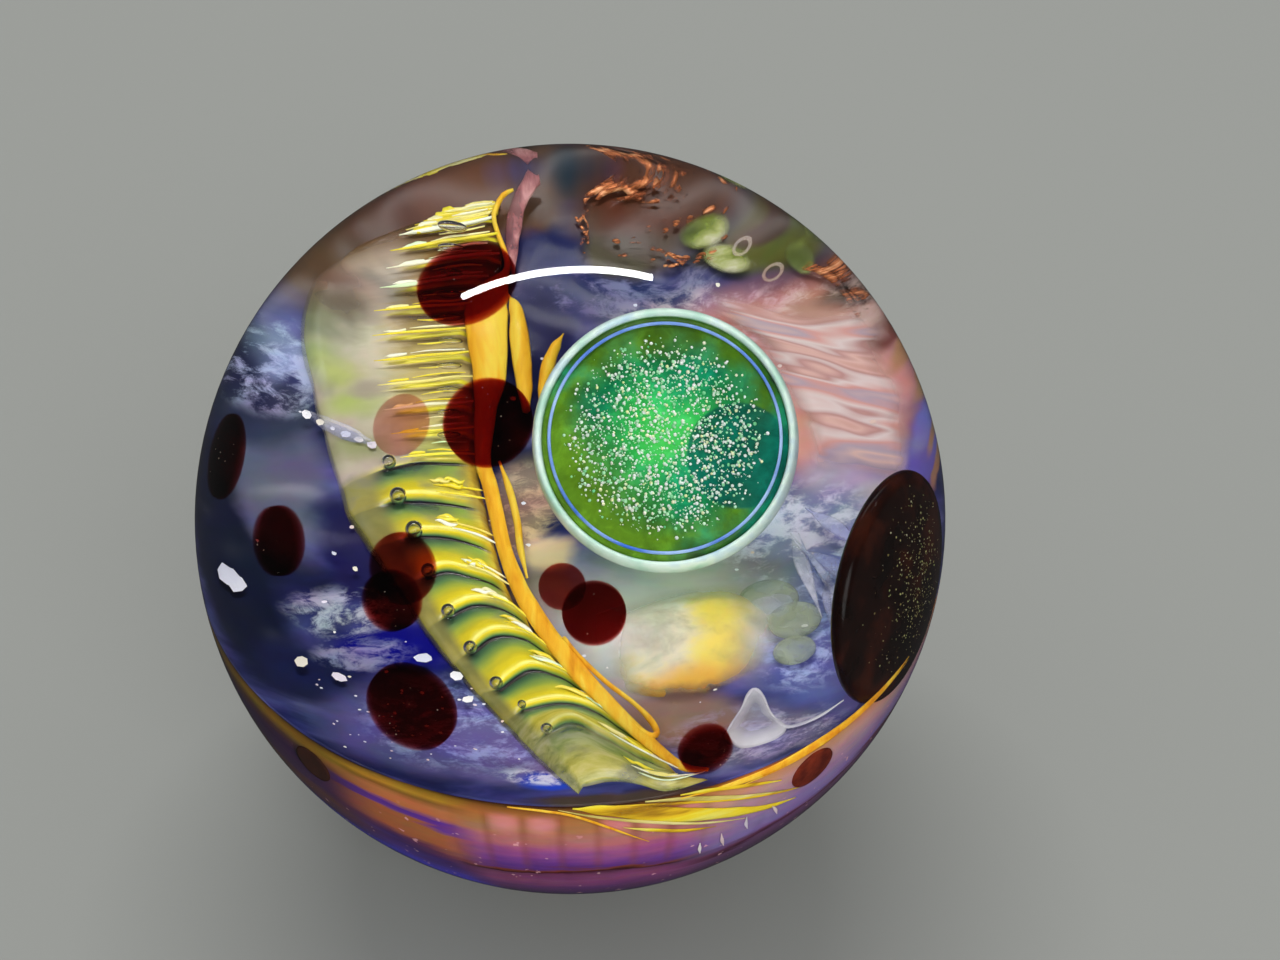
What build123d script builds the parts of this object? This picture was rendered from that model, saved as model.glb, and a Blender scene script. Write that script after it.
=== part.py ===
from build123d import *
import os

# Art glass marble: coloured glass laid on a flat faced base, under a fused clear dome.
# The origin is the middle of the ball, +Z goes up through the clear top, and -Y faces the viewer.

# Ball, and the flat face where the clear dome meets the coloured base
BALL_DIAMETER = 42.0
FACE_DROP = 0.6
BALL_RADIUS = BALL_DIAMETER / 2
FACE_HEIGHT = -FACE_DROP

# Brown dots: short pieces of rod melted in flush with the surface
DOT_RADIUS = 2.05
DOT_DEPTH = 1.5
# Degrees round from the viewer towards +X, and degrees above the middle
DOT_ANGLES = [
    (-51, 72), (-19, 54), (-29, 27), (3, 29), (-24, 12), (18, 5), (36, -8), (-76, 26), (-53, 26), (-42, -8),
    (112, -16), (140, -24), (176, -14), (-136, -18),
]
DOT_SIZE_SHARES = [
    1.22, 1.05, 0.72, 0.74, 1.14, 0.66, 0.66, 1.08, 0.85, 0.58,
    1.05, 0.72, 1.15, 1.00,
]

# One large brown dot, made like the others
LARGE_DOT_RADIUS = 6.1
LARGE_DOT_DEPTH = 2.0
LARGE_DOT_ANGLES = (58, 11)

# Glitter disc and the pale ring round it, leaning towards the viewer
DISC_RADIUS = 5.0
DISC_THICKNESS = 1.8
DISC_LEAN = 36
DISC_PLACE_SHARES = (0.185, -0.01, 0.20)
RING_WIDTH = 0.4
RING_HEIGHT = 1.2

# Feather that lies on the face: a web with ribs across it and a spine along its right edge
WEB_THICKNESS = 0.5
RIB_COUNT = 24
RIB_WIDTH = 0.45
RIB_HEIGHT = 1.3
RIB_LAG_SHARE = 0.05
SPINE_WIDTH = 1.3
SPINE_HEIGHT = 1.2
FEATHER_BEND_RADIUS = 4.0
SPINE_POINT_SHARES = [
    (-0.08, 0.71), (-0.12, 0.50), (-0.15, 0.10), (-0.08, -0.27), (0.12, -0.69), (0.28, -0.84),
]
WEB_EDGE_SHARES = [
    (-0.20, 0.69), (-0.41, 0.52), (-0.42, 0.21), (-0.26, -0.31), (-0.13, -0.68), (0.01, -0.91),
]

# Smaller glass laid on the face, each a rounded outline of one thickness
LAID_CORNER_RADIUS = 0.8
VEIL_THICKNESS = 0.7
PINK_VEIL_SHARES = [
    (0.19, 0.60), (0.40, 0.60), (0.64, 0.36), (0.60, 0.06), (0.46, 0.09), (0.42, 0.34),
]
CLOUD_THICKNESS = 1.1
CLOUD_SHARES = [
    (0.05, -0.24), (0.30, -0.20), (0.42, -0.34), (0.38, -0.52), (0.24, -0.59), (0.09, -0.44),
]
WISP_THICKNESS = 1.4
WISP_CORNER_RADIUS = 0.5
WISP_SHARES = [
    (0.33, -0.76), (0.41, -0.57), (0.50, -0.68), (0.59, -0.60), (0.62, -0.67), (0.50, -0.77),
]


def on_face(share):
    """Point of the base's face at a share of the ball's radius."""
    return Vector(share[0] * BALL_RADIUS, share[1] * BALL_RADIUS, FACE_HEIGHT)


def surface_plane(angles):
    """Plane that touches the ball at a place given by its two angles, facing outwards."""
    turn, rise = angles
    outward = Vector(0, -1, 0).rotate(Axis.X, -rise).rotate(Axis.Z, turn)
    return Plane(origin=outward * BALL_RADIUS, z_dir=outward)


def dot(angles, radius, depth):
    """Piece of brown rod that ends flush with the ball."""
    return surface_plane(angles) * Cylinder(radius, 2 * depth) & Sphere(BALL_RADIUS)


def brown_dots():
    return [dot(angles, DOT_RADIUS * share, DOT_DEPTH) for angles, share in zip(DOT_ANGLES, DOT_SIZE_SHARES)]


def disc_plane():
    """Plane through the middle of the glitter disc, across its own axis."""
    middle = Vector(*DISC_PLACE_SHARES) * BALL_RADIUS
    return Plane(origin=middle, z_dir=Vector(0, 0, 1).rotate(Axis.X, DISC_LEAN))


def green_disc():
    return disc_plane() * Cylinder(DISC_RADIUS, DISC_THICKNESS)


def pale_ring():
    """Sleeve round the middle of the disc."""
    outer = Cylinder(DISC_RADIUS + RING_WIDTH, RING_HEIGHT)
    return disc_plane() * (outer - Cylinder(DISC_RADIUS, RING_HEIGHT))


def spine_line():
    return FilletPolyline(*[on_face(share) for share in SPINE_POINT_SHARES], radius=FEATHER_BEND_RADIUS)


def web_edge_line():
    return FilletPolyline(*[on_face(share) for share in WEB_EDGE_SHARES], radius=FEATHER_BEND_RADIUS)


def feather_spine():
    return extrude(trace(spine_line(), SPINE_WIDTH), SPINE_HEIGHT, dir=(0, 0, 1))


def rib(root, tip):
    """One straight rib from the spine to the edge of the web."""
    return extrude(trace(Line(root, tip), RIB_WIDTH), RIB_HEIGHT, dir=(0, 0, 1))


def feather():
    """Web between the spine and its free edge, with ribs whose tips lag behind their roots."""
    spine = spine_line()
    edge = web_edge_line()
    outline = [*spine.edges(), *edge.edges(), Line(spine @ 0, edge @ 0), Line(spine @ 1, edge @ 1)]
    leaf = extrude(make_face(outline), WEB_THICKNESS, dir=(0, 0, 1))
    for index in range(RIB_COUNT):
        step = (index + 1) / (RIB_COUNT + 1)
        leaf += rib(spine @ (step * (1 - RIB_LAG_SHARE)), edge @ step)
    return leaf


def laid_outline(shares, thickness, corner_radius=LAID_CORNER_RADIUS):
    """Piece of one thickness with rounded corners, laid on the face."""
    outline = FilletPolyline(*[on_face(share) for share in shares], radius=corner_radius, close=True)
    return extrude(make_face(outline), thickness, dir=(0, 0, 1))


def half_ball(side):
    """Part of the ball above or below the face."""
    return split(Sphere(BALL_RADIUS), Plane.XY.offset(FACE_HEIGHT), keep=side)


# What was melted in first keeps its shape, and each later glass flows round all that is there already
fused_glass = {
    "brown_dots": brown_dots(),
    "large_brown_dot": [dot(LARGE_DOT_ANGLES, LARGE_DOT_RADIUS, LARGE_DOT_DEPTH)],
    "green_disc": [green_disc()],
    "pale_ring": [pale_ring()],
    "feather_spine": [feather_spine()],
    "feather": [feather()],
    "pink_veil": [laid_outline(PINK_VEIL_SHARES, VEIL_THICKNESS)],
    "yellow_cloud": [laid_outline(CLOUD_SHARES, CLOUD_THICKNESS)],
    "white_wisp": [laid_outline(WISP_SHARES, WISP_THICKNESS, WISP_CORNER_RADIUS)],
    "violet_base": [half_ball(Keep.BOTTOM)],
    "clear_dome": [half_ball(Keep.TOP)],
}

os.makedirs("parts", exist_ok=True)
set_already = []
for node, pieces in fused_glass.items():
    pieces = [piece - set_already if set_already else piece for piece in pieces]
    set_already += pieces
    solids = [solid for piece in pieces for solid in piece.solids()]
    export_step(Compound(children=solids, label=node), f"parts/{node}.step")
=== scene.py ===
import math
import random

import bpy
from mathutils import Matrix, Vector, noise


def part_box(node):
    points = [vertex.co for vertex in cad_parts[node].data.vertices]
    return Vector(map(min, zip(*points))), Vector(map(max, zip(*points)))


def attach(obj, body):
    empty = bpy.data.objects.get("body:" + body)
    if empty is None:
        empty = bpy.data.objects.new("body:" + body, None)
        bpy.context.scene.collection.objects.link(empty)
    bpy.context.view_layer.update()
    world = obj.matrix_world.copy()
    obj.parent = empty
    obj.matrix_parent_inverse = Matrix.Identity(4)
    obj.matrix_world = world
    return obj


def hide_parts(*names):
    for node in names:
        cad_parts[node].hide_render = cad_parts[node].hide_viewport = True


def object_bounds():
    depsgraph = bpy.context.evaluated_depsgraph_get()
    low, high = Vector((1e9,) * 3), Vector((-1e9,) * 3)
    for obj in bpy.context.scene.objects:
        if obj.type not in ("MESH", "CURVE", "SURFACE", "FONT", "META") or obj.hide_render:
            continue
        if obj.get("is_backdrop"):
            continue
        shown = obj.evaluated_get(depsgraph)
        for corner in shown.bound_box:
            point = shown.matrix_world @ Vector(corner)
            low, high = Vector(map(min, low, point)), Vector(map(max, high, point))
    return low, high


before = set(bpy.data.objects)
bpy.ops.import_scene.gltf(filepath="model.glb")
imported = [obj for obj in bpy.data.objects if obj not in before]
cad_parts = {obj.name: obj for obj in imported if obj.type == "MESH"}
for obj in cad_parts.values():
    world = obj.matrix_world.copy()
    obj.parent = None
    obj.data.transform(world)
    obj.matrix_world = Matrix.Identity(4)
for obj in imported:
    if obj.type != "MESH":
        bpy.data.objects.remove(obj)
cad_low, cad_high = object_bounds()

# Violet base
# The lower half of the ball, of streaky violet glass. Its flat top face was painted with coloured frit and
# fume before the clear glass went on, and amber glass shows at its edge, where the two halves are fused.
ball_radius = min(*cad_high, *[-part for part in cad_low])
face_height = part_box("violet_base")[1].z
clear_skin = 0.00030
base_segments = 360
base_rows = 40
face_rings = 54
face_relief = 0.00022
wide_waves, fine_waves = 240, 620


def hex_colour(code):
    """Linear colour of a hex code, with full alpha."""
    parts = [int(code[i:i + 2], 16) / 255 for i in (0, 2, 4)]
    return (*[p / 12.92 if p <= 0.04045 else ((p + 0.055) / 1.055) ** 2.4 for p in parts], 1.0)


def add(tree, kind, inputs=None, **settings):
    """New node with its settings, and its inputs linked or set."""
    made = tree.nodes.new(kind)
    for key, value in settings.items():
        setattr(made, key, value)
    for key, value in (inputs or {}).items():
        if isinstance(value, bpy.types.NodeSocket):
            tree.links.new(value, made.inputs[key])
        else:
            made.inputs[key].default_value = value
    return made


def figure(tree, operation, first, second=0.0):
    return add(tree, "ShaderNodeMath", {0: first, 1: second}, operation=operation).outputs[0]


def times(tree, first, second):
    return figure(tree, "MULTIPLY", first, second)


def plus(tree, first, second):
    return figure(tree, "ADD", first, second)


def less(tree, first, second):
    return figure(tree, "SUBTRACT", first, second)


def mix(tree, share, first, second, mode="MIX"):
    """Mix of two colours, of which the second may be a hex code."""
    second = hex_colour(second) if isinstance(second, str) else second
    inputs = {0: share, 6: first, 7: second}
    return add(tree, "ShaderNodeMix", inputs, data_type="RGBA", blend_type=mode).outputs[2]


def fade(tree, value, start, end, low=0.0, high=1.0):
    """Smooth step of a value from start to end."""
    inputs = {"Value": value, "From Min": start, "From Max": end, "To Min": low, "To Max": high}
    return add(tree, "ShaderNodeMapRange", inputs, interpolation_type="SMOOTHSTEP").outputs["Result"]


def ramp(tree, value, stops, interpolation="LINEAR"):
    made = add(tree, "ShaderNodeValToRGB", {"Fac": value})
    band = made.color_ramp
    band.interpolation = interpolation
    while len(band.elements) < len(stops):
        band.elements.new(1.0)
    for element, (position, code) in zip(band.elements, stops):
        element.position = position
        element.color = hex_colour(code)
    return made.outputs["Color"]


def shares_of_ball(tree, scale=(1.0, 1.0, 1.0)):
    """Place in the glass as shares of the ball's radius, stretched by scale."""
    place = add(tree, "ShaderNodeTexCoord").outputs["Object"]
    stretch = tuple(part / ball_radius for part in scale)
    return add(tree, "ShaderNodeMapping", {"Vector": place, "Scale": stretch}).outputs["Vector"]


def speckle(tree, place, scale, detail=3.0, roughness=0.55, distortion=0.0, output="Fac"):
    """Noise at a place."""
    inputs = {"Vector": place, "Scale": scale, "Detail": detail, "Roughness": roughness}
    inputs["Distortion"] = distortion
    return add(tree, "ShaderNodeTexNoise", inputs).outputs[output]


def vector(tree, operation, *inputs, output=0):
    return add(tree, "ShaderNodeVectorMath", dict(enumerate(inputs)), operation=operation).outputs[output]


def warped(tree, place, scale, amount):
    """Place pushed about by noise, so that colours flow into each other."""
    push = vector(tree, "SUBTRACT", speckle(tree, place, scale, output="Color"), (0.5, 0.5, 0.5))
    return vector(tree, "MULTIPLY_ADD", push, (amount, amount, amount), place)


def swirls(tree, stretch, push_scale, push, *settings, **more):
    """Noise in the stretched and pushed glass of the ball."""
    return speckle(tree, warped(tree, shares_of_ball(tree, stretch), push_scale, push), *settings, **more)


def new_glass(name, **sockets):
    """Material with one shader, whose even values are set on its own sockets."""
    material = bpy.data.materials.new(name)
    material.use_nodes = True
    tree = material.node_tree
    shader = tree.nodes["Principled BSDF"]
    shader.inputs["Roughness"].default_value = 0.2
    shader.inputs["Specular IOR Level"].default_value = 0.12
    shader.inputs["IOR"].default_value = 1.47
    for key, value in sockets.items():
        shader.inputs[key.replace("_", " ")].default_value = value
    return material, tree, shader


def paint(tree, shader, key, socket):
    tree.links.new(socket, shader.inputs[key])


def add_piece(name, points, faces, materials, slot, nodes=(), frame_matrix=None):
    """Smooth mesh that rides on the part and stands for its CAD nodes. Its slot is not used."""
    mesh = bpy.data.meshes.new(name)
    mesh.from_pydata([tuple(p) for p in points], [], faces)
    mesh.validate()
    mesh.shade_smooth()
    for material in materials:
        mesh.materials.append(material)
    piece = bpy.data.objects.new(name, mesh)
    bpy.context.scene.collection.objects.link(piece)
    if frame_matrix is not None:
        piece.matrix_world = frame_matrix
    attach(piece, "root")
    if nodes:
        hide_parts(*nodes)
    return piece


def turned(profile, segments):
    """Points and faces of a profile of (radius, height) turned about Z. A radius of 0 is one point."""
    points, rows, faces = [], [], []
    for radius, height in profile:
        count = 1 if radius < 1e-9 else segments
        rows.append((len(points), count))
        for k in range(count):
            angle = 2 * math.pi * k / segments
            points.append(Vector((radius * math.cos(angle), radius * math.sin(angle), height)))
    for (low, low_count), (high, high_count) in zip(rows, rows[1:]):
        for k in range(segments):
            n = (k + 1) % segments
            if low_count == 1:
                faces.append((low, high + n, high + k))
            elif high_count == 1:
                faces.append((low + k, low + n, high))
            else:
                faces.append((low + k, low + n, high + n, high + k))
    return points, faces


inner_radius = ball_radius - clear_skin
rim_angle = math.asin(face_height / inner_radius)
base_profile = [(0.0, -inner_radius)]
for row in range(1, base_rows + 1):
    rise = -math.pi / 2 + (rim_angle + math.pi / 2) * row / base_rows
    base_profile.append((inner_radius * math.cos(rise), inner_radius * math.sin(rise)))
for ring in range(1, face_rings):
    base_profile.append((base_profile[base_rows][0] * (1 - ring / face_rings), face_height))
base_profile.append((0.0, face_height))
base_points, base_faces = turned(base_profile, base_segments)
face_start = 1 + base_rows * base_segments
for point in base_points[face_start:]:
    inward = 1 - point.xy.length / inner_radius
    waves = noise.noise(point * wide_waves) + 0.5 * noise.noise(point * fine_waves)
    point.z += face_relief * (waves - 0.6) * min(1.0, 8 * inward)

# Blocks along the front, from one turn to another, in degrees
block_start, block_end, block_width, block_soft = -24.0, 34.0, 5.3, 6
block_low, block_high, block_depth = -34, -3, 0.00022
for point in base_points[1:face_start]:
    turn = math.degrees(math.atan2(point.x, -point.y))
    rise = math.degrees(math.asin(point.z / inner_radius))
    if block_start < turn < block_end and block_low < rise < block_high:
        part = (turn - block_start) / block_width % 1.0
        ends = min(1.0, (turn - block_start) / block_soft, (block_end - turn) / block_soft)
        ends *= math.sin(math.pi * (rise - block_low) / (block_high - block_low))
        point *= 1 - block_depth / inner_radius * ends * (2 * part - 1) ** 4

face_glass, tree, shader = new_glass("face_glass")
place = warped(tree, warped(tree, shares_of_ball(tree), 2.2, 0.14), 8.0, 0.06)
streaks = swirls(tree, (1.2, 2.6, 1.0), 1.2, 0.7, 2.0, 4.0, 0.5)
colour = ramp(tree, streaks, [(0.28, "0a0e24"), (0.42, "1e2354"), (0.55, "42457f"), (0.68, "7775ab"),
                              (0.85, "b9b5d4")])
# Fields of colour on the face: place, half width and half length as shares of the radius, and colour
face_fields = [
    ((-0.70, -0.16), (0.13, 0.34), "10162e"), ((-0.66, 0.16), (0.10, 0.24), "12182e"),
    ((-0.56, -0.41), (0.16, 0.11), "161d44"), ((-0.50, 0.16), (0.09, 0.19), "5c5f78"),
    ((-0.50, 0.34), (0.07, 0.09), "343a52"), ((-0.40, -0.03), (0.06, 0.15), "1d1a4c"),
    ((-0.34, -0.31), (0.13, 0.08), "0a0a78"), ((-0.30, -0.62), (0.27, 0.19), "5a5890"),
    ((-0.16, -0.70), (0.12, 0.14), "6c649c"), ((-0.07, -0.82), (0.07, 0.05), "2444c4"),
    ((-0.32, 0.62), (0.24, 0.10), "5c4228"), ((-0.48, 0.43), (0.05, 0.05), "93a3c4"),
    ((0.00, 0.66), (0.09, 0.10), "0f184e"), ((0.05, 0.59), (0.10, 0.07), "1c2658"),
    ((-0.05, 0.43), (0.07, 0.15), "181a46"), ((-0.56, 0.43), (0.10, 0.12), "1e2440"),
    ((0.02, 0.728), (0.06, 0.015), "0e2434"), ((0.11, 0.655), (0.08, 0.05), "4e4436"),
    ((0.16, 0.70), (0.16, 0.035), "54301c"), ((0.20, 0.612), (0.035, 0.016), "0a0b1e"),
    ((0.10, 0.53), (0.11, 0.05), "2e3464"), ((0.30, 0.63), (0.10, 0.05), "5e5a26"),
    ((0.42, 0.55), (0.08, 0.05), "4a2c20"), ((0.48, 0.47), (0.06, 0.05), "6a3c30"),
    ((0.34, 0.46), (0.17, 0.10), "b98078"), ((0.46, 0.30), (0.14, 0.16), "d8998c"),
    ((0.52, 0.13), (0.12, 0.10), "b3a6c0"), ((0.65, 0.20), (0.05, 0.15), "6a5fb8"),
    ((0.44, 0.00), (0.11, 0.10), "8083b0"), ((0.46, -0.33), (0.13, 0.20), "4d5396"),
    ((0.40, -0.70), (0.20, 0.13), "6b6488"), ((0.67, -0.60), (0.12, 0.12), "57508c"),
    ((-0.09, 0.08), (0.05, 0.12), "8a7466"), ((-0.03, -0.05), (0.05, 0.06), "d9c49a"),
    ((0.08, -0.42), (0.13, 0.16), "85767e"), ((0.21, -0.61), (0.14, 0.10), "8a6e60"),
    ((-0.05, -0.20), (0.06, 0.10), "86706e"), ((0.10, -0.95), (0.22, 0.045), "4a3c34"),
    ((-0.055, 0.715), (0.05, 0.03), "5a3a30"), ((0.54, -0.42), (0.10, 0.16), "5c5f9e"),
    ((0.44, 0.52), (0.05, 0.03), "4a3428"), ((0.50, 0.45), (0.03, 0.04), "80483e"),
    ((0.545, 0.43), (0.018, 0.06), "b48a62"), ((0.60, 0.36), (0.018, 0.06), "b08662"),
    ((0.655, 0.26), (0.016, 0.07), "a47a66"), ((0.70, 0.16), (0.016, 0.07), "a47a66"),
    ((0.622, 0.24), (0.02, 0.06), "7a74bc"), ((0.31, 0.645), (0.08, 0.02), "4c3024"),
    ((-0.30, 0.66), (0.16, 0.05), "583624"), ((-0.15, 0.70), (0.085, 0.045), "66402a"),
]
# Frosted places, which break up into grains
frost_fields = [
    ((-0.46, -0.20), (0.10, 0.07), "c4c8da"), ((-0.42, -0.33), (0.10, 0.05), "9aa0c0"),
    ((-0.09, 0.07), (0.06, 0.11), "d8b896"), ((-0.46, 0.41), (0.08, 0.08), "c6d4ee"),
    ((-0.22, -0.60), (0.22, 0.17), "a9b4e6"), ((0.42, -0.04), (0.12, 0.16), "e6e4f4"),
    ((0.47, -0.33), (0.11, 0.18), "b4c0f0"), ((-0.08, -0.80), (0.10, 0.04), "f2f4ff"),
    ((0.08, 0.56), (0.16, 0.05), "8a86b0"), ((0.30, 0.50), (0.20, 0.06), "e0c4c4"),
    ((0.40, -0.70), (0.2, 0.12), "b9b0cc"),
]
grains = swirls(tree, (1.0, 1.3, 1.0), 6.0, 0.12, 15.0, 7.0, 0.70)
grains = fade(tree, grains, 0.45, 0.62, 0.0, 0.75)


def field(tree, place, middle, size, soft=0.35):
    """Share of a soft oval field of colour at a place."""
    offset = vector(tree, "SUBTRACT", place, (*middle, 0))
    squeeze = (1 / size[0], 1 / size[1], 0)
    scaled = vector(tree, "MULTIPLY", offset, squeeze)
    reach = vector(tree, "LENGTH", scaled, output="Value")
    return fade(tree, reach, 1 + soft, 1 - soft)


for middle, size, code in face_fields:
    colour = mix(tree, field(tree, place, middle, size), colour, code)
# Pale glass below the disc, painted brighter still as painted light that makes up for the disc's shadow
painted_light_patch = times(tree, field(tree, place, (0.20, -0.25), (0.18, 0.16), 0.9), 0.85)
colour = mix(tree, painted_light_patch, colour, "fffaee")
for middle, size, code in frost_fields:
    frost = times(tree, field(tree, place, middle, size), grains)
    colour = mix(tree, frost, colour, code)
fine = swirls(tree, (1.6, 2.0, 1.6), 2.0, 0.5, 4.0, 6.0, 0.58, output="Color")
colour = mix(tree, 0.45, colour, fine, "OVERLAY")
paint(tree, shader, "Base Color", colour)

base_glass, tree, shader = new_glass("base_glass")
spot = shares_of_ball(tree)
parts = add(tree, "ShaderNodeSeparateXYZ", {0: spot}).outputs
turn = figure(tree, "ARCTAN2", parts["X"], times(tree, parts["Y"], -1.0))
turn = times(tree, turn, 180 / math.pi)
rise = times(tree, figure(tree, "ARCSINE", parts["Z"]), 180 / math.pi)
bend = swirls(tree, (1.4, 1.4, 1.4), 1.2, 0.4, 1.0, 3.0)
flow = swirls(tree, (2.2, 2.2, 15.0), 1.0, 0.3, 1.5, 5.0, 0.55)
below = less(tree, -1.6, rise)
drift = plus(tree, times(tree, less(tree, bend, 0.5), 12.0),
             times(tree, less(tree, flow, 0.5), 7.0))
drift = times(tree, drift, fade(tree, below, 1.0, 12.0, 0.15, 1.0))
depth = figure(tree, "DIVIDE", plus(tree, below, drift), 38.4)
# Colours from the seam down, on the left, in the middle, on the right and at the back
aside = times(tree, depth, fade(tree, figure(tree, "ABSOLUTE", turn), 12.0, 58.0, 1.0, 1.55))
left_bands = ramp(tree, aside, [
    (0.0, "20140c"), (0.015, "7a5a1c"), (0.05, "b48c2a"), (0.08, "8a602a"), (0.11, "c47a4c"),
    (0.17, "c47848"), (0.20, "5c349c"), (0.25, "6a3c9c"), (0.28, "b06a42"), (0.40, "b86c44"),
    (0.48, "6c3c5c"), (0.58, "4a2e6c"), (0.68, "543c96"), (0.80, "5448ec"), (1.0, "2a2470"),
])
far_left_bands = ramp(tree, aside, [
    (0.0, "20140c"), (0.03, "6a4c18"), (0.09, "8e6e22"), (0.16, "5e3e34"), (0.26, "40244e"),
    (0.45, "4e3056"), (0.60, "6e4844"), (0.75, "4a2e70"), (0.86, "5448ec"), (1.0, "2a2470"),
])
middle_bands = ramp(tree, depth, [
    (0.0, "341a0e"), (0.02, "7e5022"), (0.06, "b0763e"), (0.13, "b88254"), (0.20, "c07878"),
    (0.28, "a65c92"), (0.36, "824898"), (0.42, "623888"), (0.445, "7e3c2c"), (0.465, "3a1418"),
    (0.49, "763e64"), (0.58, "944e7c"), (0.70, "723e78"), (0.85, "54306a"), (1.0, "302050"),
])
right_bands = ramp(tree, aside, [
    (0.0, "5a2c14"), (0.02, "c87a28"), (0.06, "cc9060"), (0.14, "c49a90"), (0.24, "b08ca0"),
    (0.34, "9a7ea8"), (0.46, "8c78b4"), (0.52, "6e3e5c"), (0.56, "4a1c30"), (0.60, "704a70"),
    (0.80, "5a3c60"), (1.0, "3a2850"),
])
back_bands = ramp(tree, depth, [
    (0.0, "5a3818"), (0.04, "b0803a"), (0.14, "8a5a5a"), (0.33, "6a3f9a"), (0.55, "4a2f9c"),
    (0.72, "9a6048"), (0.84, "6a3aa0"), (1.0, "3a2a8a"),
])
step = figure(tree, "DIVIDE", less(tree, turn, block_start), block_width)
luck = add(tree, "ShaderNodeTexWhiteNoise", {"W": figure(tree, "FLOOR", step)},
           noise_dimensions="1D").outputs["Value"]
window = times(tree, fade(tree, turn, block_start, block_start + 7),
               fade(tree, turn, block_end, block_end - 9))
window = times(tree, window, times(tree, fade(tree, rise, -3.0, -5.0), fade(tree, rise, -20.5, -17.0)))
# Painted highlight: pale pink at the top of some blocks, where light catches them
highlight_place = add(tree, "ShaderNodeCombineXYZ", {0: figure(tree, "FRACT", step),
                                               1: figure(tree, "DIVIDE", rise, 6.0)}).outputs[0]
block_top_highlight = times(tree, field(tree, highlight_place, (0.5, -0.98), (0.40, 0.36), 0.75),
             fade(tree, luck, 0.35, 0.6, 0.0, 0.75))
middle_bands = mix(tree, times(tree, block_top_highlight, window), middle_bands, "e8949a")
gap = figure(tree, "ABSOLUTE", less(tree, figure(tree, "FRACT", step), 0.5))
middle_bands = mix(tree, times(tree, fade(tree, gap, 0.28, 0.50, 0.0, 0.36), window), middle_bands,
                   "8a4a34")
colour = mix(tree, fade(tree, turn, -13.0, -21.0), middle_bands, left_bands)
colour = mix(tree, fade(tree, turn, -29.0, -42.0), colour, far_left_bands)
colour = mix(tree, fade(tree, turn, 13.0, 24.0), colour, right_bands)
colour = mix(tree, fade(tree, figure(tree, "ABSOLUTE", turn), 95.0, 135.0), colour, back_bands)
specks = fade(tree, speckle(tree, spot, 30.0, 2.0), 0.68, 0.74, 0.0, 0.8)
colour = mix(tree, times(tree, specks, fade(tree, depth, 0.1, 0.25)), colour, "ecb4b8")
swirl = swirls(tree, (1.6, 1.6, 1.6), 2.0, 0.5, 2.2, 5.0)
under = fade(tree, rise, -42.0, -56.0)
colour = mix(tree, times(tree, under, fade(tree, swirl, 0.52, 0.60)), colour, "b0703a")
colour = mix(tree, times(tree, under, fade(tree, swirl, 0.44, 0.38)), colour, "b4609c")
mottle = swirls(tree, (2.0, 2.0, 5.0), 2.0, 0.4, 5.0, 6.0, 0.6, output="Color")
colour = mix(tree, 0.35, colour, mottle, "OVERLAY")
paint(tree, shader, "Base Color", colour)

base_body = add_piece("base_body", base_points, base_faces, [base_glass, face_glass], "violet_glass",
                      ["violet_base"])
for polygon in base_body.data.polygons:
    polygon.material_index = int(min(polygon.vertices) >= face_start - base_segments
                                 and polygon.normal.z > 0.5)

# Feather
# A leaf of fumed yellow-green glass that lies on the face. It was raked with a pick while hot, which drew it
# into a row of overlapping ribs that sweep out from the spine, curl at their tips and end in tiny bubbles.
feather_low, feather_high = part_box("feather")
rib_steps = 16
rib_across = 40
rib_height = feather_high.z - feather_low.z
# Lines of the ribs from the spine to the tip, as shares of the radius, with the number of each rib
rib_lines = {
    0: [(-0.090, 0.704), (-0.123, 0.698), (-0.158, 0.689), (-0.193, 0.676), (-0.227, 0.659)],
    2: [(-0.101, 0.680), (-0.148, 0.667), (-0.205, 0.653), (-0.269, 0.632), (-0.322, 0.605)],
    4: [(-0.102, 0.617), (-0.156, 0.614), (-0.232, 0.597), (-0.305, 0.577), (-0.377, 0.553)],
    6: [(-0.150, 0.523), (-0.204, 0.517), (-0.274, 0.511), (-0.336, 0.500), (-0.414, 0.480)],
    8: [(-0.160, 0.417), (-0.211, 0.416), (-0.286, 0.409), (-0.351, 0.400), (-0.422, 0.386)],
    10: [(-0.165, 0.301), (-0.210, 0.300), (-0.278, 0.295), (-0.347, 0.286), (-0.422, 0.278)],
    12: [(-0.166, 0.168), (-0.206, 0.175), (-0.250, 0.178), (-0.286, 0.175), (-0.323, 0.165),
         (-0.410, 0.120)],
    13: [(-0.155, 0.046), (-0.187, 0.057), (-0.229, 0.068), (-0.274, 0.073), (-0.313, 0.076),
         (-0.403, 0.043)],
    14: [(-0.140, -0.078), (-0.169, -0.053), (-0.205, -0.034), (-0.245, -0.022), (-0.290, -0.020),
         (-0.370, -0.050)],
    15: [(-0.118, -0.197), (-0.159, -0.156), (-0.199, -0.133), (-0.237, -0.121), (-0.271, -0.133),
         (-0.331, -0.165)],
    16: [(-0.079, -0.305), (-0.113, -0.256), (-0.147, -0.229), (-0.193, -0.221), (-0.241, -0.251),
         (-0.286, -0.292)],
    17: [(-0.030, -0.412), (-0.069, -0.358), (-0.107, -0.324), (-0.154, -0.318), (-0.205, -0.366),
         (-0.241, -0.402)],
    18: [(0.047, -0.551), (0.000, -0.485), (-0.042, -0.445), (-0.095, -0.429), (-0.154, -0.490),
         (-0.197, -0.505)],
    19: [(0.161, -0.745), (0.086, -0.637), (0.035, -0.573), (-0.033, -0.541), (-0.113, -0.563),
         (-0.148, -0.612)],
    20: [(0.233, -0.868), (0.119, -0.751), (0.057, -0.679), (-0.010, -0.617), (-0.065, -0.651),
         (-0.099, -0.716)],
    21: [(0.300, -0.895), (0.209, -0.932), (0.134, -0.878), (0.065, -0.849), (0.009, -0.872),
         (-0.004, -0.915)],
}


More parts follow.
